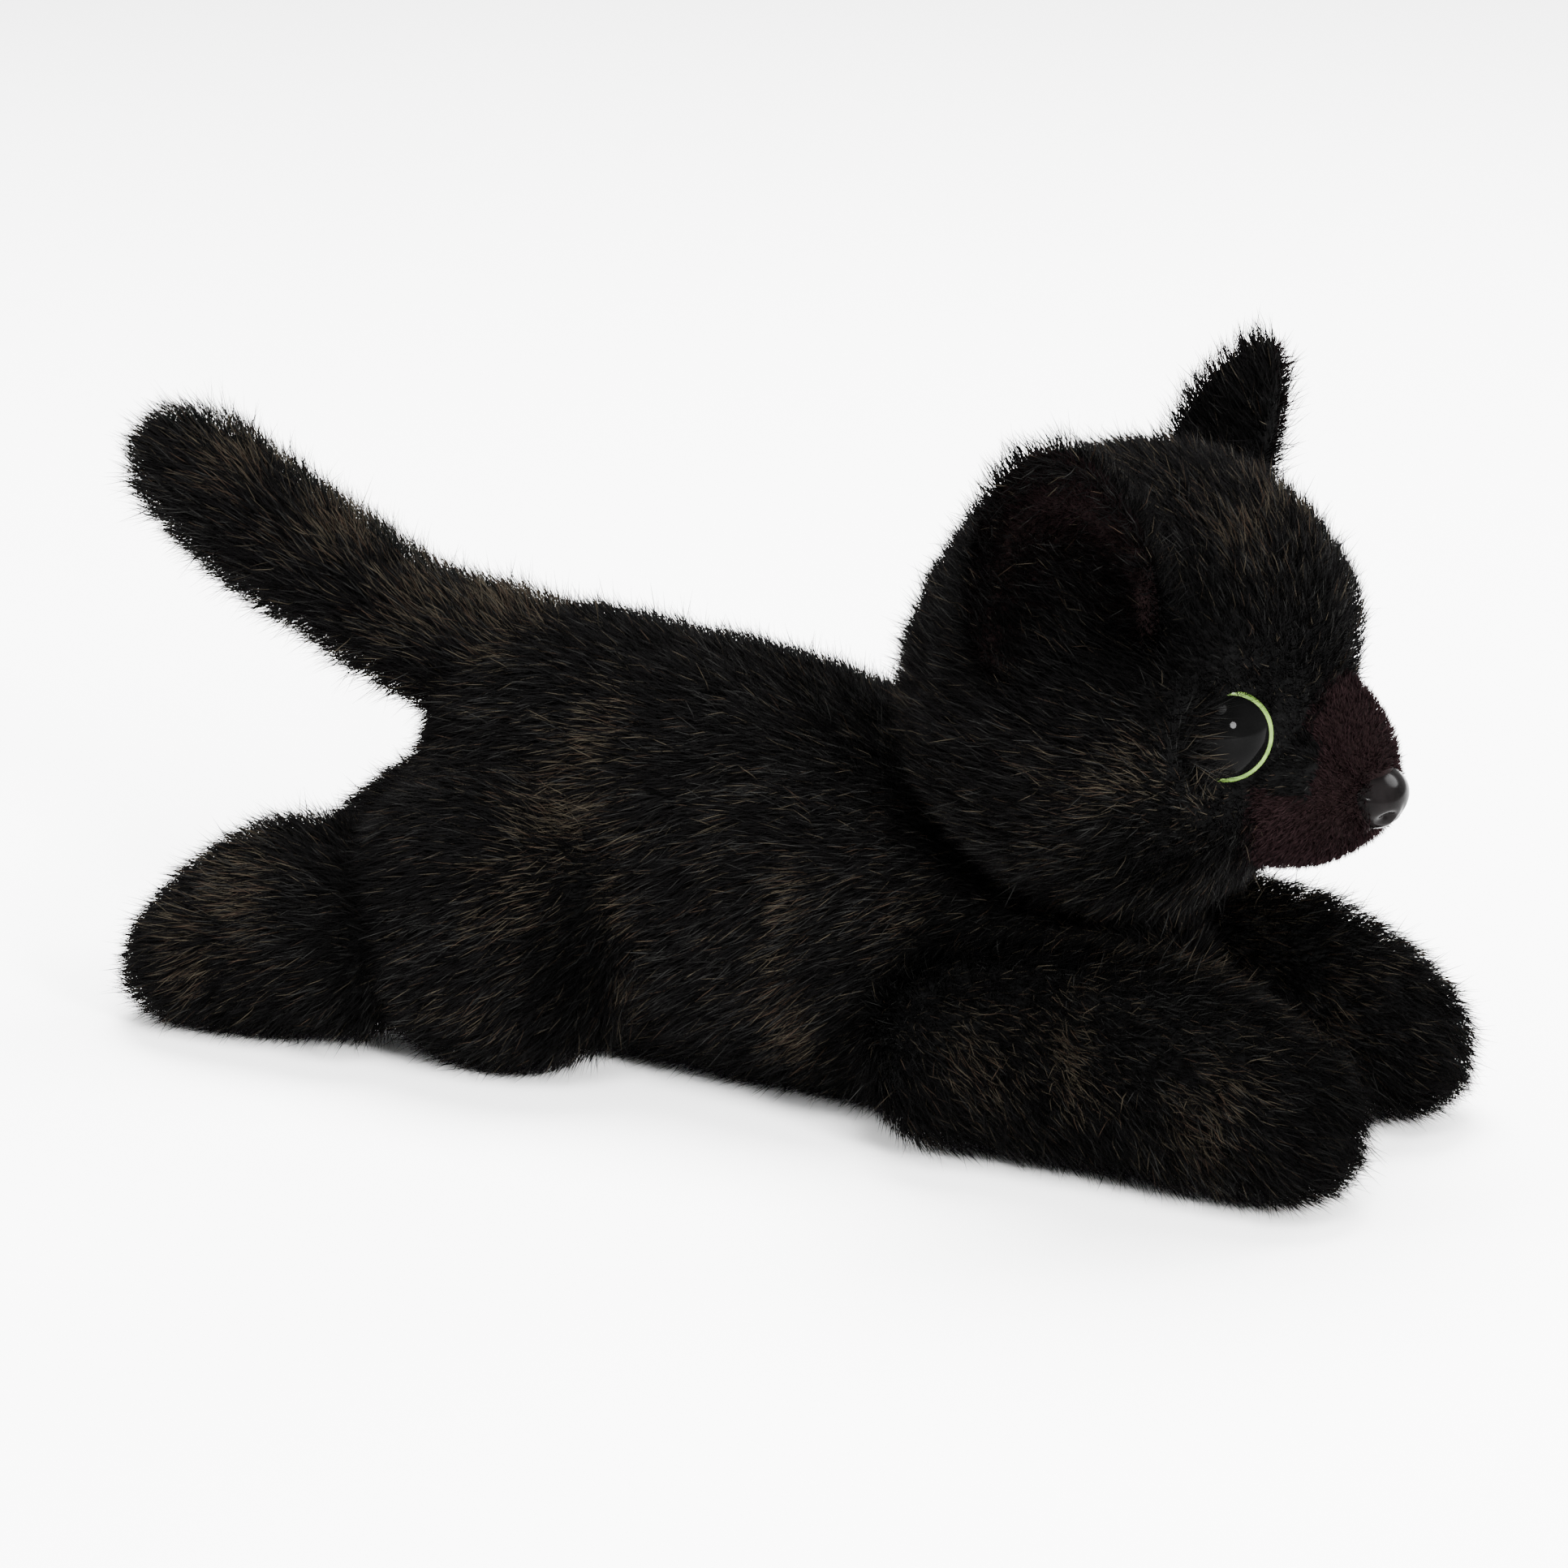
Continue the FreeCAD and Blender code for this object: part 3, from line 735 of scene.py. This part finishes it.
NOSE_GLOSS = ramp_material("nose_gloss", (0.0015, 0.0013, 0.0013), (0.004, 0.0035, 0.0035),
                           260, 0.16, 0.08, 0.00004, gloss=0.012)


# ---- directions in which the pile is combed ----
def comb_torso(p):
    base = np.tile([-1.0, 0.0, -0.45], (len(p), 1))
    base[:, 1] = 0.25 * np.sign(p[:, 1])
    return base


def combed(*direction):
    """Pile that is combed in one direction all over a piece."""
    return lambda p: np.tile(direction, (len(p), 1))


comb_tail = combed(-0.88, 0.0, 0.46)
comb_foreleg = combed(1.0, 0.0, -0.35)
comb_foot = combed(-1.0, 0.0, -0.25)


def behind_eye(p):
    """1 just behind an eye, where the pile leans over it, and 0 elsewhere."""
    near = np.zeros(len(p))
    toward = np.zeros((len(p), 3))
    for side in (1, -1):
        eye = HEAD + sided(EYE_OFFSET, side)
        back = unit(sided(np.array([-0.72, 0.62, -0.10]), side))
        offset = p - eye
        distance = np.linalg.norm(offset, axis=1)
        rear = np.clip((offset @ back) / np.maximum(distance, 0.1) * 1.6 - 0.2, 0, 1)
        weight = rear * np.exp(-(np.maximum(distance - EYE_R, 0) / 3.5) ** 2)
        near = np.maximum(near, weight)
        toward = toward - weight[:, None] * back
    return near, toward


def comb_head(p):
    away = unit(p - NOSE) + np.array([0.0, 0.0, 0.15])
    near, toward = behind_eye(p)
    return away * (1 - near)[:, None] + toward


def comb_muzzle(p):
    return unit(p - NOSE)


# ---- styles of pile ----
def from_eyes(points):
    """The distance from each point to the nearer eye."""
    eyes = [HEAD + sided(EYE_OFFSET, side) for side in (1, -1)]
    return np.minimum(*(np.linalg.norm(points - eye, axis=1) for eye in eyes))


def eyes_and_nose(points):
    """1 on the eyes and the nose, where no fibres grow, and 0 elsewhere."""
    on_nose = np.linalg.norm(points - NOSE, axis=1) < NOSE_CLEAR
    return ((from_eyes(points) < EYE_R + 0.2) | on_nose) * 1.0


def clear_of_eye(points):
    """0 at an eye's edge and 1 at 7 mm or more from it."""
    return np.clip((from_eyes(points) - EYE_R) / 7.0, 0, 1)


def style(length, colours, **more):
    made = {"length": length, "colours": colours, "density": 1.0, "lay": 0.62, "clump": 0.32,
            "tuft": 2.2, "stray": 0.05}
    made.update(more)
    return made


def under_head(p):
    """Fibres between the head and the torso are left out."""
    return (np.linalg.norm(p - HEAD, axis=1) < HEAD_RADII.max() + 1.4) * 1.0


def torso_hidden(p):
    cover = under_head(p)
    for side in (1, -1):
        for centre, radii in ((SHOULDER, SHOULDER_BALL), (HIP, HIP_BALL)):
            local = (p - sided(centre, side)) / (radii + 0.9)
            cover = np.maximum(cover, (np.linalg.norm(local, axis=1) < 1) * 1.0)
    return cover


def head_length(p):
    front = np.clip((p[:, 0] - HEAD[0] - 20) / 10, 0, 1)
    snout = np.exp(-(np.linalg.norm(p - MUZZLE, axis=1) / 16) ** 4)
    length = 5.0 - 1.2 * front - 2.0 * snout - 2.4 * (1 - clear_of_eye(p))
    return np.maximum(length, 0.9) + 3.2 * behind_eye(p)[0]


def leg_length(p):
    return 5.0 + 1.0 * np.clip((p[:, 0] - 88) / 12, 0, 1)


COAT = style(5.2, coat_colours, covered=torso_hidden)
HEAD_COAT = style(head_length, coat_colours, covered=eyes_and_nose)
LEG_COAT = style(leg_length, coat_colours, clump=0.55)
TAIL_COAT = style(5.6, coat_colours, stray=0.08)
SHORT = style(1.5, short_colours, density=2.2, lay=0.45, clump=0.1, tuft=1.0, stray=0.02,
              width=0.13)
MUZZLE_SHORT = dict(SHORT, covered=eyes_and_nose)
EAR_COAT = style(5.0, coat_colours, lay=0.55, stray=0.1, clump=0.6)
LINING = style(1.8, lining_colours, density=1.6, lay=0.5, clump=0.1, tuft=1.0, width=0.14)


# ---- skins ----
def torso_cover():
    thighs = [ball(sided(THIGH, side), THIGH_RADII) for side in (1, -1)]
    return fused([limb(TORSO, 2.3)] + thighs, COVER_VOXEL, 4)


def make_room(skin, depth):
    """The torso's cover, or its filling at a depth under it, with room for the head and legs."""
    verts = skin.inset(depth)
    verts = push_out(verts, HEAD, HEAD_RADII, 0.5 + depth)
    for side in (1, -1):
        verts = push_out(verts, sided(SHOULDER, side), SHOULDER_BALL, 0.3 + depth)
        verts = push_out(verts, sided(HIP, side), HIP_BALL, 0.3 + depth)
    verts[:, 2] = np.maximum(verts[:, 2], TORSO_REST + depth)
    return Skin(verts, skin.faces)


def thigh_side(points):
    """Above 0 inside the thigh's outline, seen from the side."""
    outline = ((points[:, 0] - THIGH[0]) / (THIGH_RADII[0] - 1.5)) ** 2
    outline = outline + ((points[:, 2] - THIGH[2]) / (THIGH_RADII[2] - 1.5)) ** 2
    return (1 - outline) * (np.abs(points[:, 1]) > 17.0)


def leg_cover(stations, centre, radii):
    return fused([limb(stations), ball(centre, radii, 3)], COVER_VOXEL, 4)


def rested(skin):
    """A leg's cover, flat where it lies on the floor."""
    verts = skin.verts.copy()
    verts[:, 2] = np.maximum(verts[:, 2], LEG_REST)
    return Skin(verts, skin.faces)


def covers():
    """Every stuffed cover, before it is filled, with the distance from a point to its seams."""
    def torso_seam(p):
        return np.minimum(np.abs(p[:, 1]), np.abs(p[:, 2] - BELLY_Z))

    def head_seam(p):
        return np.abs(np.abs(p[:, 1]) - GUSSET_HALF)

    return {
        "torso": (torso_cover(), torso_seam),
        "foreleg": (leg_cover(FORELEG, SHOULDER, SHOULDER_BALL),
                    lambda p: np.abs(p[:, 1] - SHOULDER[1])),
        "foot": (leg_cover(HIND_FOOT, HIP, HIP_BALL), lambda p: np.abs(p[:, 1] - HIP[1] - 1)),
        "tail": (fused([tail_tube(TAIL)], COVER_VOXEL * 0.8, 3), lambda p: np.abs(p[:, 1])),
        "head": (Skin(*ball(HEAD, HEAD_RADII - SWELL_CAP * 0.6, 5)), head_seam)}


def head_skin(cover):
    """The filled cover with its cheeks and forehead, and a hollow for each eye."""
    verts, faces = cover.verts, cover.faces
    out = unit(verts - HEAD)

    def angle_from(aim):
        return np.degrees(np.arccos(np.clip(out @ unit(np.array(aim)), -1, 1)))

    bumps = [((0.45, 0.72, -0.50), 26, 1.8), ((0.45, -0.72, -0.50), 26, 1.8),
             ((-0.86, 0.0, 0.50), 45, -2.4),
             ((0.78, 0.0, 0.62), 22, 1.6), ((0.80, 0.42, 0.35), 13, 0.9),
             ((0.80, -0.42, 0.35), 13, 0.9)]
    for aim, spread, height in bumps:
        verts = verts + out * (height * np.exp(-(angle_from(aim) / spread) ** 2))[:, None]
    for side in (1, -1):
        angle = angle_from(sided(EYE_OFFSET, side))
        verts = verts - out * (4.2 * np.exp(-(angle / 15.5) ** 3))[:, None]
    return Skin(verts, faces)


def ridge_axis():
    fall = math.radians(BRIDGE_SLOPE)
    return np.array([math.cos(fall), 0.0, -math.sin(fall)])


def muzzle_skin():
    """A full lower lip with a cleft, and the narrow ridge that runs over it to the nose."""
    verts, faces = ball(np.zeros(3), np.ones(3), 4)
    v = verts.copy()
    drop = np.clip(0.2 - v[:, 2], 0, 1)
    cheeks = np.exp(-((np.abs(v[:, 1]) - 0.45) / 0.3) ** 2) * drop
    v = v * (1 + 0.07 * cheeks)[:, None]
    lower = (v * MUZZLE_RADII + MUZZLE, faces)
    along = ridge_axis()
    over = np.array([-along[2], 0.0, along[0]])
    ridge = verts * BRIDGE_RADII
    ridge = BRIDGE + np.outer(ridge[:, 0], along) + np.outer(ridge[:, 2], over)
    ridge[:, 1] += verts[:, 1] * BRIDGE_RADII[1]
    skin = fused([lower, (ridge, faces)], 0.8, 7)
    p = skin.verts - MUZZLE
    cleft = np.exp(-(p[:, 1] / 0.9) ** 2) * np.clip(p[:, 0] / 8, 0, 1) * (p[:, 2] < 1)
    skin.verts = skin.verts - skin.normals * (0.9 * cleft)[:, None]
    skin.refresh()
    return skin


def muzzle_zone(p):
    """0 on the lower muzzle, 1 on the bridge and 2 on the long pile between them."""
    drop = (p - BRIDGE) @ np.array([-ridge_axis()[2], 0.0, ridge_axis()[0]])
    forward = np.clip((p[:, 0] - (NOSE[0] - 9)) / 7, 0, 1)
    bridge = drop > 0.6 + 0.055 * p[:, 1] ** 2 - 1.4 * forward
    lower = p[:, 2] < MUZZLE[2] + 2.6 - 1.5 * forward
    return np.where(bridge, 1, np.where(lower | (forward > 0.75), 0, 2))


def ear_axes():
    chord = unit(np.array(JOINTS["ear_left_fold"]["axis"], float))
    rough_up = np.array([-0.380, 0.130, 0.915])
    facing = unit(np.cross(rough_up, chord))
    return chord, np.cross(chord, facing), facing


EAR_OUTLINES = {                # across the base and up from it; hand sewn, so no two are alike
    1: [(-12, -4.5), (-11.4, 2), (-7, 9.5), (-0.5, 16.4), (6.6, 22.2), (11.4, 24.0),
        (13.8, 20.8), (13.6, 13.5), (10.0, 5), (8.5, -4.5)],
    -1: [(-11.5, -4.5), (-11.6, 2), (-8.5, 10.6), (-2.6, 17.6), (4.8, 22.4), (10.8, 23.0),
         (14.5, 20.2), (16.4, 13.5), (16.8, 5), (16.5, -4.5)]}
EAR_CUP = 24.0
EAR_CUP_FORWARD = 21.0
EAR_CUP_UP = 9.0
EAR_ROOT = 5.0                  # the ear bends into the head below this
EAR_THICK = 1.5
EAR_RIM = 0.80                  # share of the ear that its lining covers


def ear_sheet(side):
    """The ear's cupped middle surface as a grid: rim at the outline, centre at the base."""
    chord, up, facing = ear_axes()
    outline = catmull(EAR_OUTLINES[side], 6)
    rings = 12
    cup_centre = np.array([0.0, EAR_CUP_UP, EAR_CUP_FORWARD])
    rows = []
    foot = np.array([0.0, -4.5])
    for k in range(rings + 1):
        flat = foot + (outline - foot) * (k / rings)
        depth = cup_centre[2] - np.sqrt(EAR_CUP ** 2 - (flat[:, 0] - cup_centre[0]) ** 2
                                        - (flat[:, 1] - cup_centre[1]) ** 2)
        rows.append(np.column_stack([flat, depth]))
    grid = np.array(rows)
    world = EAR + grid[..., :1] * chord + grid[..., 1:2] * up + grid[..., 2:3] * facing
    sewn_in = np.clip((EAR_ROOT - grid[..., 1:2]) / 9, 0, 1) ** 1.5
    under = HEAD + unit(world - HEAD) * (HEAD_RADII.min() - 1.5)
    return world * (1 - sewn_in) + under * sewn_in, facing


def ear_skins(side):
    """The furry back and the lining of an ear, each a thin closed shell, as a left ear."""
    grid, facing = ear_sheet(side)
    rows, columns = grid.shape[:2]
    made = []
    for low, high in ((-EAR_THICK, 0.0), (0.1, EAR_THICK * 0.7)):
        layers = []
        for level, shrink in ((low, 1.0), (high, 1.0 if low < 0 else EAR_RIM)):
            base = grid[0, columns // 2]
            layers.append(base + (grid - base) * shrink + facing * level)
        back, front = (layer.reshape(-1, 3) for layer in layers)
        n = rows * columns
        faces = []
        for r in range(rows - 1):
            for c in range(columns - 1):
                a, b = r * columns + c, (r + 1) * columns + c
                faces.append((a, a + 1, b + 1, b))
                faces.append((n + a, n + b, n + b + 1, n + a + 1))
        last = (rows - 1) * columns
        for c in range(columns - 1):
            faces.append((last + c, last + c + 1, n + last + c + 1, n + last + c))
        for r in range(rows - 1):
            a, b = r * columns, (r + 1) * columns
            faces.append((a, b, n + b, n + a))
            a, b = a + columns - 1, b + columns - 1
            faces.append((b, a, n + a, n + b))
        obj = mesh_object("ear", np.vstack([back, front]), faces)
        weld = obj.modifiers.new("weld", "WELD")
        weld.merge_threshold = 0.02 * MM
        apply_modifiers(obj)
        turned_out(obj)
        made.append(Skin(*read_mesh(obj)))
        bpy.data.objects.remove(obj)
    return made


# ---- pieces ----
def stuffing_piece(name, skin, depth, body):
    """Filling that lies at a depth under a skin."""
    obj = mesh_object("filled_" + name, skin.inset(depth), skin.faces)
    smooth_shaded(obj)
    obj.data.materials.append(FIBREFILL)
    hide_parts(name)
    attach(obj, body)
    return obj


def sewn(node, skin, keep, comb, kind, body, seed, short=False, more=()):
    """One panel of a cover.  More holds further parts of it, cut from other skins."""
    cloth, pile = (SHORT_KNIT, SHORT_PLUSH) if short else (KNIT, BLACK_PILE)
    parts = [(skin, keep, comb)] + list(more)
    obj = panel_piece("sewn_" + node, parts, kind, cloth, pile, seed)
    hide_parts(node)
    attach(obj, body)


def build_torso():
    skin = make_room(COVERS["torso"], 0.0)
    groove(skin, skin.verts[:, 1], 0.5, 0.9)
    p = skin.centres
    thigh = thigh_side(p) > 0
    upper = p[:, 2] > BELLY_Z
    for k, (side, label) in enumerate(SIDES):
        own = p[:, 1] * side > 0
        for part, keep, seed in (("torso", own & upper & ~thigh, 10), ("thigh", own & thigh, 14)):
            sewn("%s_panel_%s" % (part, label), skin, keep, comb_torso, COAT, "torso", seed + k)
    sewn("belly_panel", skin, ~upper & ~thigh, comb_torso, COAT, "torso", 18)
    inner = make_room(COVERS["torso"], STUFFING_INSET)
    obj = stuffing_piece("torso_stuffing", inner, 0.0, "torso")
    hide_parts("thigh_stuffing_left", "thigh_stuffing_right", "pellet_pouch")


def build_forelegs():
    left = rested(COVERS["foreleg"])
    for k, (side, label) in enumerate(SIDES):
        skin = left if side == 1 else left.mirrored()
        p = skin.centres
        body = "foreleg_" + label
        sole = (p[:, 2] < 3.2) & (p[:, 0] > 62) & (np.abs(np.abs(p[:, 1]) - 20) < 9)
        outer = np.abs(p[:, 1]) > SHOULDER[1]
        for part, keep, kind, seed in (("outer", outer & ~sole, LEG_COAT, 30),
                                       ("inner", ~outer & ~sole, LEG_COAT, 34),
                                       ("sole", sole, SHORT, 38)):
            sewn("foreleg_%s_%s" % (part, label), skin, keep, comb_foreleg, kind, body,
                 seed + k, short=part == "sole")
        stuffing_piece("foreleg_stuffing_" + label, skin, STUFFING_INSET, body)


def build_hind_feet():
    left = rested(COVERS["foot"])
    for k, (side, label) in enumerate(SIDES):
        flatter = Skin(left.verts * [1, 1, FAR_FOOT_HEIGHT], left.faces)
        skin = flatter if side == 1 else left.mirrored()
        outer = np.abs(skin.centres[:, 1]) > HIP[1] + 1
        body = "hind_foot_" + label
        for part, keep, seed in (("outer", outer, 50), ("inner", ~outer, 54)):
            sewn("hind_foot_%s_%s" % (part, label), skin, keep, comb_foot, LEG_COAT, body,
                 seed + k)
        stuffing_piece("hind_foot_stuffing_" + label, skin, STUFFING_INSET, body)


def build_tail():
    skin = COVERS["tail"]
    left = skin.centres[:, 1] > 0
    sewn("tail_panel_left", skin, left, comb_tail, TAIL_COAT, "tail", 60)
    sewn("tail_panel_right", skin, ~left, comb_tail, TAIL_COAT, "tail", 61)
    stuffing_piece("tail_stuffing", skin, STUFFING_INSET, "tail")


def build_head():
    skin = head_skin(COVERS["head"])
    p = skin.centres - HEAD
    gusset = np.abs(p[:, 1]) < GUSSET_HALF
    chin = gusset & (p[:, 2] < -18)
    muzzle = muzzle_skin()
    outside = np.linalg.norm(muzzle.centres - HEAD, axis=1) > HEAD_RADII.min() - 2.0
    zone = muzzle_zone(muzzle.centres)
    for k, (side, label) in enumerate(SIDES):
        name = "head_side_" + label
        wedge = outside & (zone == 2) & (muzzle.centres[:, 1] * side > 0)
        sewn(name, skin, ~gusset & (p[:, 1] * side > 0), comb_head, HEAD_COAT, "head", 70 + k,
             more=[(muzzle, wedge, comb_muzzle)])
    sewn("crown_gusset", skin, gusset & ~chin, comb_head, HEAD_COAT, "head", 73)
    sewn("chin_panel", skin, chin, comb_head, HEAD_COAT, "head", 74)
    for name, own_zone, seed in (("muzzle_bridge", 1, 80), ("muzzle_lower", 0, 81)):
        sewn(name, muzzle, outside & (zone == own_zone), comb_muzzle, MUZZLE_SHORT, "head",
             seed, short=True)
    stuffing_piece("head_stuffing", skin, STUFFING_INSET, "head")
    stuffing_piece("muzzle_stuffing", muzzle, STUFFING_INSET, "head")


def build_neck():
    """The lens of filling between the head and the torso, and the wad in the tail's root."""
    verts, faces = ball(np.zeros(3), np.ones(3), 4)
    aim = unit(NECK_AIM)
    along = verts @ aim
    flat = verts - np.outer(along, aim)
    spread = math.sin(math.radians(NECK_ANGLE)) * NECK_R * NECK_HIDDEN
    cap = flat * spread
    rise = np.sqrt(NECK_R ** 2 - (cap ** 2).sum(1))
    lens = HEAD + cap + np.outer(rise + along * NECK_THICK / 2, aim)
    stuffing_piece("neck_stuffing", Skin(lens, faces), 0.0, "neck")
    verts, faces = ball(TAIL_ROOT, np.array([4.0, 4.0, 4.0]), 3)
    verts = verts + unit(verts - TAIL_ROOT) * (0.25 * noise(verts, 2.2, 41))[:, None]
    stuffing_piece("tail_root_stuffing", Skin(verts, faces), 0.0, "tail_root")


def build_ears():
    up = ear_axes()[1]
    for k, (side, label) in enumerate(SIDES):
        back, lining = ear_skins(side)
        comb = combed(*sided(up, side))
        for part, skin, kind, short in (("back", back, EAR_COAT, False),
                                        ("lining", lining, LINING, True)):
            own = skin if side == 1 else skin.mirrored()
            sewn("ear_%s_%s" % (part, label), own, np.ones(len(own.faces), bool), comb, kind,
                 "ear_" + label, 90 + k + 4 * short, short)


def lathe(name, profile, origin, aim, material, around=96):
    """A turned piece: profile points are (radius, height along the aim)."""
    aim = unit(np.array(aim, float))
    a = unit(np.cross(aim, [0.0, 0.0, 1.0]))
    b = np.cross(aim, a)
    t = np.arange(around) * 2 * math.pi / around
    verts, faces = [], tube_faces(len(profile), around)
    for radius, height in profile:
        ring = origin + aim * height + radius * (np.outer(np.cos(t), a) + np.outer(np.sin(t), b))
        verts.extend(ring)
    if profile[0] != profile[-1]:
        faces.append(tuple(reversed(range(around))))
        faces.append(tuple(range((len(profile) - 1) * around, len(profile) * around)))
    obj = mesh_object(name, verts, faces)
    turned_out(obj, 1e-7)
    smooth_shaded(obj)
    obj.data.materials.append(material)
    return obj


def dome_profile():
    """The eye's dome, from its shank's end to its apex."""
    bulge = (EYE_R ** 2 + EYE_DOME ** 2) / (2 * EYE_DOME)
    edge = math.asin(EYE_R / bulge)
    turns = [edge * (1 - k / 24) for k in range(25)]
    arc = [(bulge * math.sin(t), EYE_DOME - bulge + bulge * math.cos(t)) for t in turns]
    arc[-1] = (0.02, EYE_DOME)
    return [(1.9, -11.0), (1.9, -0.6), (EYE_R - 0.5, -0.5), (EYE_R - 0.1, -0.3)] + arc


def ring_profile():
    section = []
    for k in range(17):
        t = k * 2 * math.pi / 16
        section.append((IRIS_R - 0.5 + 0.52 * math.cos(t), -0.05 + 0.4 * math.sin(t)))
    section[-1] = section[0]
    return section


def build_eyes():
    for side, label in SIDES:
        seat = HEAD + sided(EYE_OFFSET, side)
        aim = unit(sided(EYE_AIM, side))
        for node, profile, material, slot in (
                ("eye_dome_", dome_profile(), EYE_BLACK, "eye_plastic"),
                ("eye_iris_", ring_profile(), IRIS, "iris_green")):
            obj = lathe("shaped_" + node + label, profile, seat, aim, material)
            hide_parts(node + label)
            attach(obj, "head")


def build_nose():
    """A rounded triangular nose with a groove down its middle and two nostrils."""
    verts, faces = ball(np.zeros(3), np.ones(3), 5)
    v = verts.copy()
    width = np.interp(v[:, 2], [-1, -0.2, 0.5, 1], [0.62, 0.9, 1.08, 0.95])
    v[:, 1] *= width
    front = np.clip(v[:, 0], 0, 1)
    middle = np.exp(-(v[:, 1] / 0.09) ** 2) * np.clip(0.35 - v[:, 2], 0, 1)
    nostril = np.exp(-(((np.abs(v[:, 1]) - 0.42) / 0.2) ** 2 + ((v[:, 2] + 0.12) / 0.2) ** 2))
    v = v * (1 - front * (0.12 * middle + 0.26 * nostril))[:, None]
    lean_cos, lean_sin = math.cos(math.radians(NOSE_TILT)), math.sin(math.radians(NOSE_TILT))
    turn = np.array([[lean_cos, 0, lean_sin], [0, 1, 0], [-lean_sin, 0, lean_cos]])
    verts = (v * NOSE_RADII) @ turn.T + NOSE
    obj = mesh_object("shaped_nose", verts, faces)
    smooth_shaded(obj)
    obj.data.materials.append(NOSE_GLOSS)
    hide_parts("nose")
    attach(obj, "head")


def finish_cad_nodes():
    """The pieces inside that keep their CAD shape get their own materials."""
    for name in ("eye_washer_left", "eye_washer_right", "nose_washer"):
        for material_slot in frame["nodes"][name].material_slots:
            material_slot.material = WASHER


# ---- studio ----
FLOOR_HALF = 4200.0             # half the side of the sheet of paper, in FLOOR_CELLS steps
FLOOR_CELLS = 24
FLOOR_FLAT = 600.0              # the sheet is flat within this distance of the cat
FLOOR_DROP = 2.0
FLOOR_WAVE = 900.0
LAMPS = [                       # name, place, target, width of the lamp, watts
    ("key", (350, -550, 1000), (20, 0, 40), 500, 30),
    ("fill", (-700, -500, 500), (0, 0, 40), 700, 12),
    ("top", (-150, 300, 1000), (0, 0, 30), 700, 70),
    ("rim", (450, 700, 500), (20, 0, 60), 400, 14),
    ("catchlight", (790, -500, 405), (76, -17, 65), 200, 38)]
WORLD_STRENGTH = 1.0


def build_studio():
    """A wide sheet of pale paper, flat under the object and very slightly wavy far from it."""
    steps = np.linspace(-FLOOR_HALF, FLOOR_HALF, FLOOR_CELLS + 1)
    verts = np.array([(x, y, 0.0) for y in steps for x in steps])
    away = np.clip(np.linalg.norm(verts, axis=1) / FLOOR_FLAT - 1, 0, 1)
    verts[:, 2] = -FLOOR_DROP * away * (1 + noise(verts, FLOOR_WAVE, 77))
    row = FLOOR_CELLS + 1
    faces = []
    for a in (r * row + c for r in range(FLOOR_CELLS) for c in range(FLOOR_CELLS)):
        faces.append((a, a + 1, a + row + 1, a + row))
    floor = mesh_object("studio_floor", verts, faces)
    smooth_shaded(floor)
    floor.data.materials.append(ramp_material("studio_paper", (0.94,) * 3, (0.96,) * 3, 3, 0.9,
                                              0.02, gloss=0.1))


def area_light(name, place, target, size, power):
    data = bpy.data.lights.new(name, "AREA")
    data.shape = "DISK"
    data.size = size * MM
    data.energy = power
    light = bpy.data.objects.new(name, data)
    bpy.context.scene.collection.objects.link(light)
    light.location = Vector(place) * MM
    aim = Vector(target) - Vector(place)
    light.rotation_euler = aim.to_track_quat("-Z", "Y").to_euler()


def build_lights():
    for lamp in LAMPS:
        area_light(*lamp)
    world = bpy.data.worlds.new("studio")
    world.use_nodes = True
    background = world.node_tree.nodes["Background"]
    background.inputs["Color"].default_value = (1, 1, 1, 1)
    background.inputs["Strength"].default_value = WORLD_STRENGTH
    bpy.context.scene.world = world


def build_camera():
    a, e = math.radians(VIEW_AZIMUTH), math.radians(VIEW_ELEVATION)
    back = np.array([math.sin(a) * math.cos(e), -math.cos(a) * math.cos(e), math.sin(e)])
    data = bpy.data.cameras.new("camera")
    data.sensor_width = SENSOR
    data.lens = SENSOR * VIEW_DISTANCE / FRAME_WIDTH
    data.clip_start = 0.01
    data.clip_end = 20.0
    camera = bpy.data.objects.new("camera", data)
    bpy.context.scene.collection.objects.link(camera)
    camera.location = Vector((VIEW_TARGET + back * VIEW_DISTANCE) * MM)
    camera.rotation_euler = Vector(-back).to_track_quat("-Z", "Y").to_euler()
    bpy.context.scene.camera = camera


COVERS = filled(covers())
build_camera()
build_studio()
build_lights()
build_torso()
build_forelegs()
build_hind_feet()
build_tail()
build_head()
build_neck()
build_ears()
build_eyes()
build_nose()
finish_cad_nodes()
